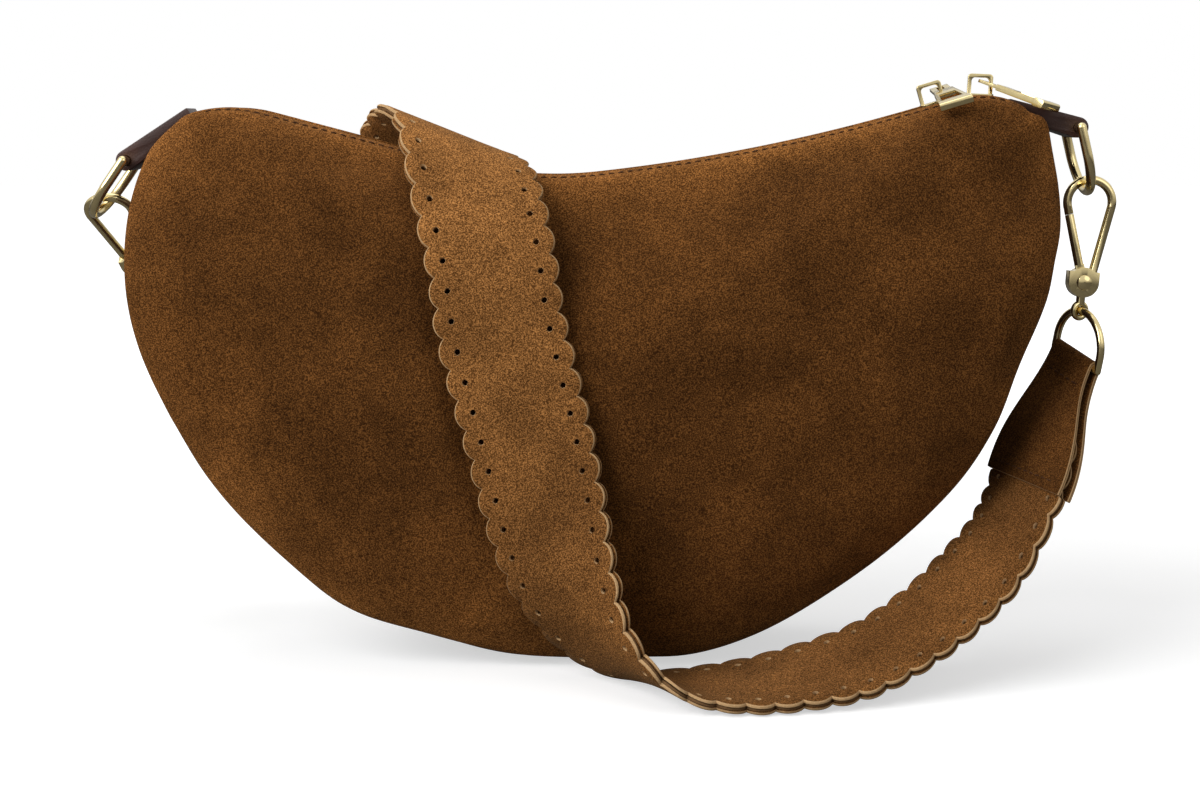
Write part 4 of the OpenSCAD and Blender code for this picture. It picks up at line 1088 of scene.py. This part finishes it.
class BAG_OT_strap_tabs(bpy.types.Operator):
    """Strap end tabs: suede folded round each strap loop and sewn over the strap's end"""

    bl_idname = "bag.strap_tabs"
    bl_label = "Strap end tabs"

    def execute(self, context):
        route, sizes = Route(), context.scene.bag_sizes
        for node, from_end in (("strap_end_tab_left", False), ("strap_end_tab_right", True)):
            rows, cols = tab_path(route, from_end), np.linspace(-1, 1, 15)
            n, m = len(rows), len(cols)
            verts = []
            for share in (0.0, 0.4, 0.6, 1):
                for place, across, out, half in rows:
                    verts += [place + across * half * c + out * (share * TAB_T) for c in cols]
            faces = grid_faces(n, m, flip=True) + grid_faces(n, m, start=3 * n * m)
            kinds = [0] * len(faces)
            border = list(range(m)) + [r * m + m - 1 for r in range(1, n)]
            border += [(n - 1) * m + k for k in range(m - 2, -1, -1)] + [r * m for r in range(n - 2, 0, -1)]
            for k, kind in enumerate((1, 2, 1)):  # cut side of one skin, glue line, cut side of the other
                low, high, after = k * n * m, (k + 1) * n * m, border[1:] + border[:1]
                faces += [(a + low, b + low, b + high, a + high) for a, b in zip(border, after)]
                kinds += [kind] * len(border)
            faces = faces if from_end else [f[::-1] for f in faces]
            keys = ("suede", "cut_edge", "core")
            obj = piece(node + "_suede", verts, faces, keys, (node,), kinds)
            rounded(obj, 0.25 * MM, 60, segments=2)
            sharp_by_angle(obj, 45)
            for side, where in ((1, "out"), (-1, "in")):
                verts, faces = [], []
                for d in (TAB_COVER - 4 * MM, 9 * MM):
                    s = route.length - d if from_end else d
                    half = float(STRAP_W / 2 - route.taper(s)) - 3 * MM
                    place, across, face = route.at(np.full(20, s))
                    line = place + across * np.linspace(-half, half, 20)[:, None]
                    line += face * side * (tab_stand(d) + TAB_T)
                    v, f = thread_run(line, face * side, sizes)
                    faces += [tuple(i + len(verts) for i in q) for q in f]
                    verts += v
                piece(f"{node}_stitches_{where}", verts, faces, ("thread",))
        return {"FINISHED"}


class BAG_OT_stitches(bpy.types.Operator):
    """Topstitching along the zip, on both panels, sunk into the suede"""

    bl_idname = "bag.stitches"
    bl_label = "Topstitching"

    def execute(self, context):
        sizes = context.scene.bag_sizes
        pitch = sizes.stitch + sizes.stitch_gap
        line, run = stitch_line(SEWN)
        line = line[(run > 1.25 * pitch) & (run < run[-1] - pitch)]
        for side, name in ((-1, "front"), (1, "back")):
            mesh = bpy.data.objects[name + "_panel_suede"].data
            tree = BVHTree.FromPolygons([v.co for v in mesh.vertices], [p.vertices for p in mesh.polygons])
            pts, normals = [], []
            for x, z in line:
                hit, normal, _, _ = tree.ray_cast(Vector((x, side * 0.2, z)), Vector((0, -side, 0)))
                if hit is None:
                    raise RuntimeError("a stitch finds no panel under it")
                pts.append(hit)
                normals.append(normal if normal.y * side > 0 else -normal)
            verts, faces = thread_run(np.array(pts), np.array(normals), sizes)
            piece(f"zip_stitches_{name}", verts, faces, ("thread",))
        return {"FINISHED"}


# ---- stage


# Name, place and size in metres, and watts. All are wide, for level soft light.
LAMPS = (
    ("key", (-1.3, -1.05, 1.1), 1.7, 34),
    ("fill", (1.1, -1.2, 1.0), 1.2, 3.4),
    ("top", (-0.2, 0.3, 1.7), 1.2, 5),
)
LAMPS_AIM = Vector((0, 0, 0.1))
# The camera as matched to the photograph: place in metres, degrees that it looks down, lens in mm
EYE, EYE_DOWN, LENS = (2.8 * MM, -0.8, 0.205), 7.58, 61.92
FLOOR_HALF, FLOOR_LOW = 6.0, 0.6 * MM
# The room round the bag, from the floor up to the ceiling
ROOM = ((0.0, (0.10, 0.09, 0.08)), (0.48, (0.22, 0.21, 0.20)), (0.60, (0.75, 0.75, 0.74)), (1.0, (1, 1, 1)))


class BAG_OT_stage(bpy.types.Operator):
    """Floor, world, lamps and the camera at the photograph's viewing angle"""

    bl_idname = "bag.stage"
    bl_label = "Stage"

    def execute(self, context):
        scene = context.scene
        scene.view_settings.view_transform = "Standard"
        mesh = bpy.data.meshes.new("floor")
        row = np.linspace(-FLOOR_HALF, FLOOR_HALF, 24)
        mesh.from_pydata([(x, y, 0) for y in row for x in row], [], grid_faces(len(row), len(row)))
        mesh.materials.append(plain_floor("Studio floor"))
        floor = linked("floor", mesh)
        floor.location.z = -FLOOR_LOW

        world = bpy.data.worlds.new("Studio")
        scene.world = world
        world.use_nodes = True
        tree = world.node_tree
        tree.nodes.clear()
        rays = add_node(tree, "LightPath").outputs
        way = add_node(tree, "TexCoord").outputs["Generated"]
        up = add_node(tree, "SeparateXYZ", {0: way}).outputs[2]
        room = shades(tree, ranged(tree, up, 0.0, 1.0, **{"From Min": -1.0}), ROOM)
        studio = mixed(tree, room, (1, 1, 1, 1), rays["Is Camera Ray"])
        strength = ranged(tree, rays["Is Diffuse Ray"], 1.0, 0.32)
        sky = add_node(tree, "Background", {"Color": studio, "Strength": strength})
        add_node(tree, "OutputWorld", {0: sky.outputs[0]})

        for name, at, size, watts in LAMPS:
            lamp = bpy.data.lights.new(name, "AREA")
            lamp.shape, lamp.size, lamp.energy = "DISK", size, watts
            obj = linked(name, lamp)
            obj.location = at
            obj.rotation_euler = (LAMPS_AIM - Vector(at)).to_track_quat("-Z", "Y").to_euler()

        camera = bpy.data.cameras.new("camera")
        camera.sensor_width, camera.lens, camera.clip_start = 36, LENS, 0.01
        scene.camera = linked("camera", camera)
        scene.camera.location = EYE
        scene.camera.rotation_euler = (math.radians(90 - EYE_DOWN), 0, 0)
        return {"FINISHED"}


class BAG_PT_tools(bpy.types.Panel):
    """The bag's pieces, its colours and its sizes"""

    bl_label = "Half moon bag"
    bl_idname = "BAG_PT_tools"
    bl_space_type = "VIEW_3D"
    bl_region_type = "UI"
    bl_category = "Bag"

    def draw(self, context):
        for group in (context.scene.bag_looks, context.scene.bag_sizes):
            for key in group.__annotations__:
                self.layout.prop(group, key)
        for op in PIECES:
            self.layout.operator(op.bl_idname)


PIECES = (
    BAG_OT_stage,
    BAG_OT_panels,
    BAG_OT_gusset,
    BAG_OT_lining,
    BAG_OT_zip,
    BAG_OT_hardware,
    BAG_OT_end_tabs,
    BAG_OT_strap,
    BAG_OT_strap_tabs,
    BAG_OT_stitches,
)
GROUPS = (BagLooks, BagSizes)


def register():
    for c in (*GROUPS, *PIECES, BAG_PT_tools):
        bpy.utils.register_class(c)
    bpy.types.Scene.bag_looks = PointerProperty(type=BagLooks)
    bpy.types.Scene.bag_sizes = PointerProperty(type=BagSizes)


def unregister():
    del bpy.types.Scene.bag_sizes
    del bpy.types.Scene.bag_looks
    for c in reversed((*GROUPS, *PIECES, BAG_PT_tools)):
        bpy.utils.unregister_class(c)


def main():
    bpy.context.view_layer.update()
    register()
    for op in PIECES:
        group, name = op.bl_idname.split(".")
        getattr(getattr(bpy.ops, group), name)()


if __name__ == "__main__":
    main()
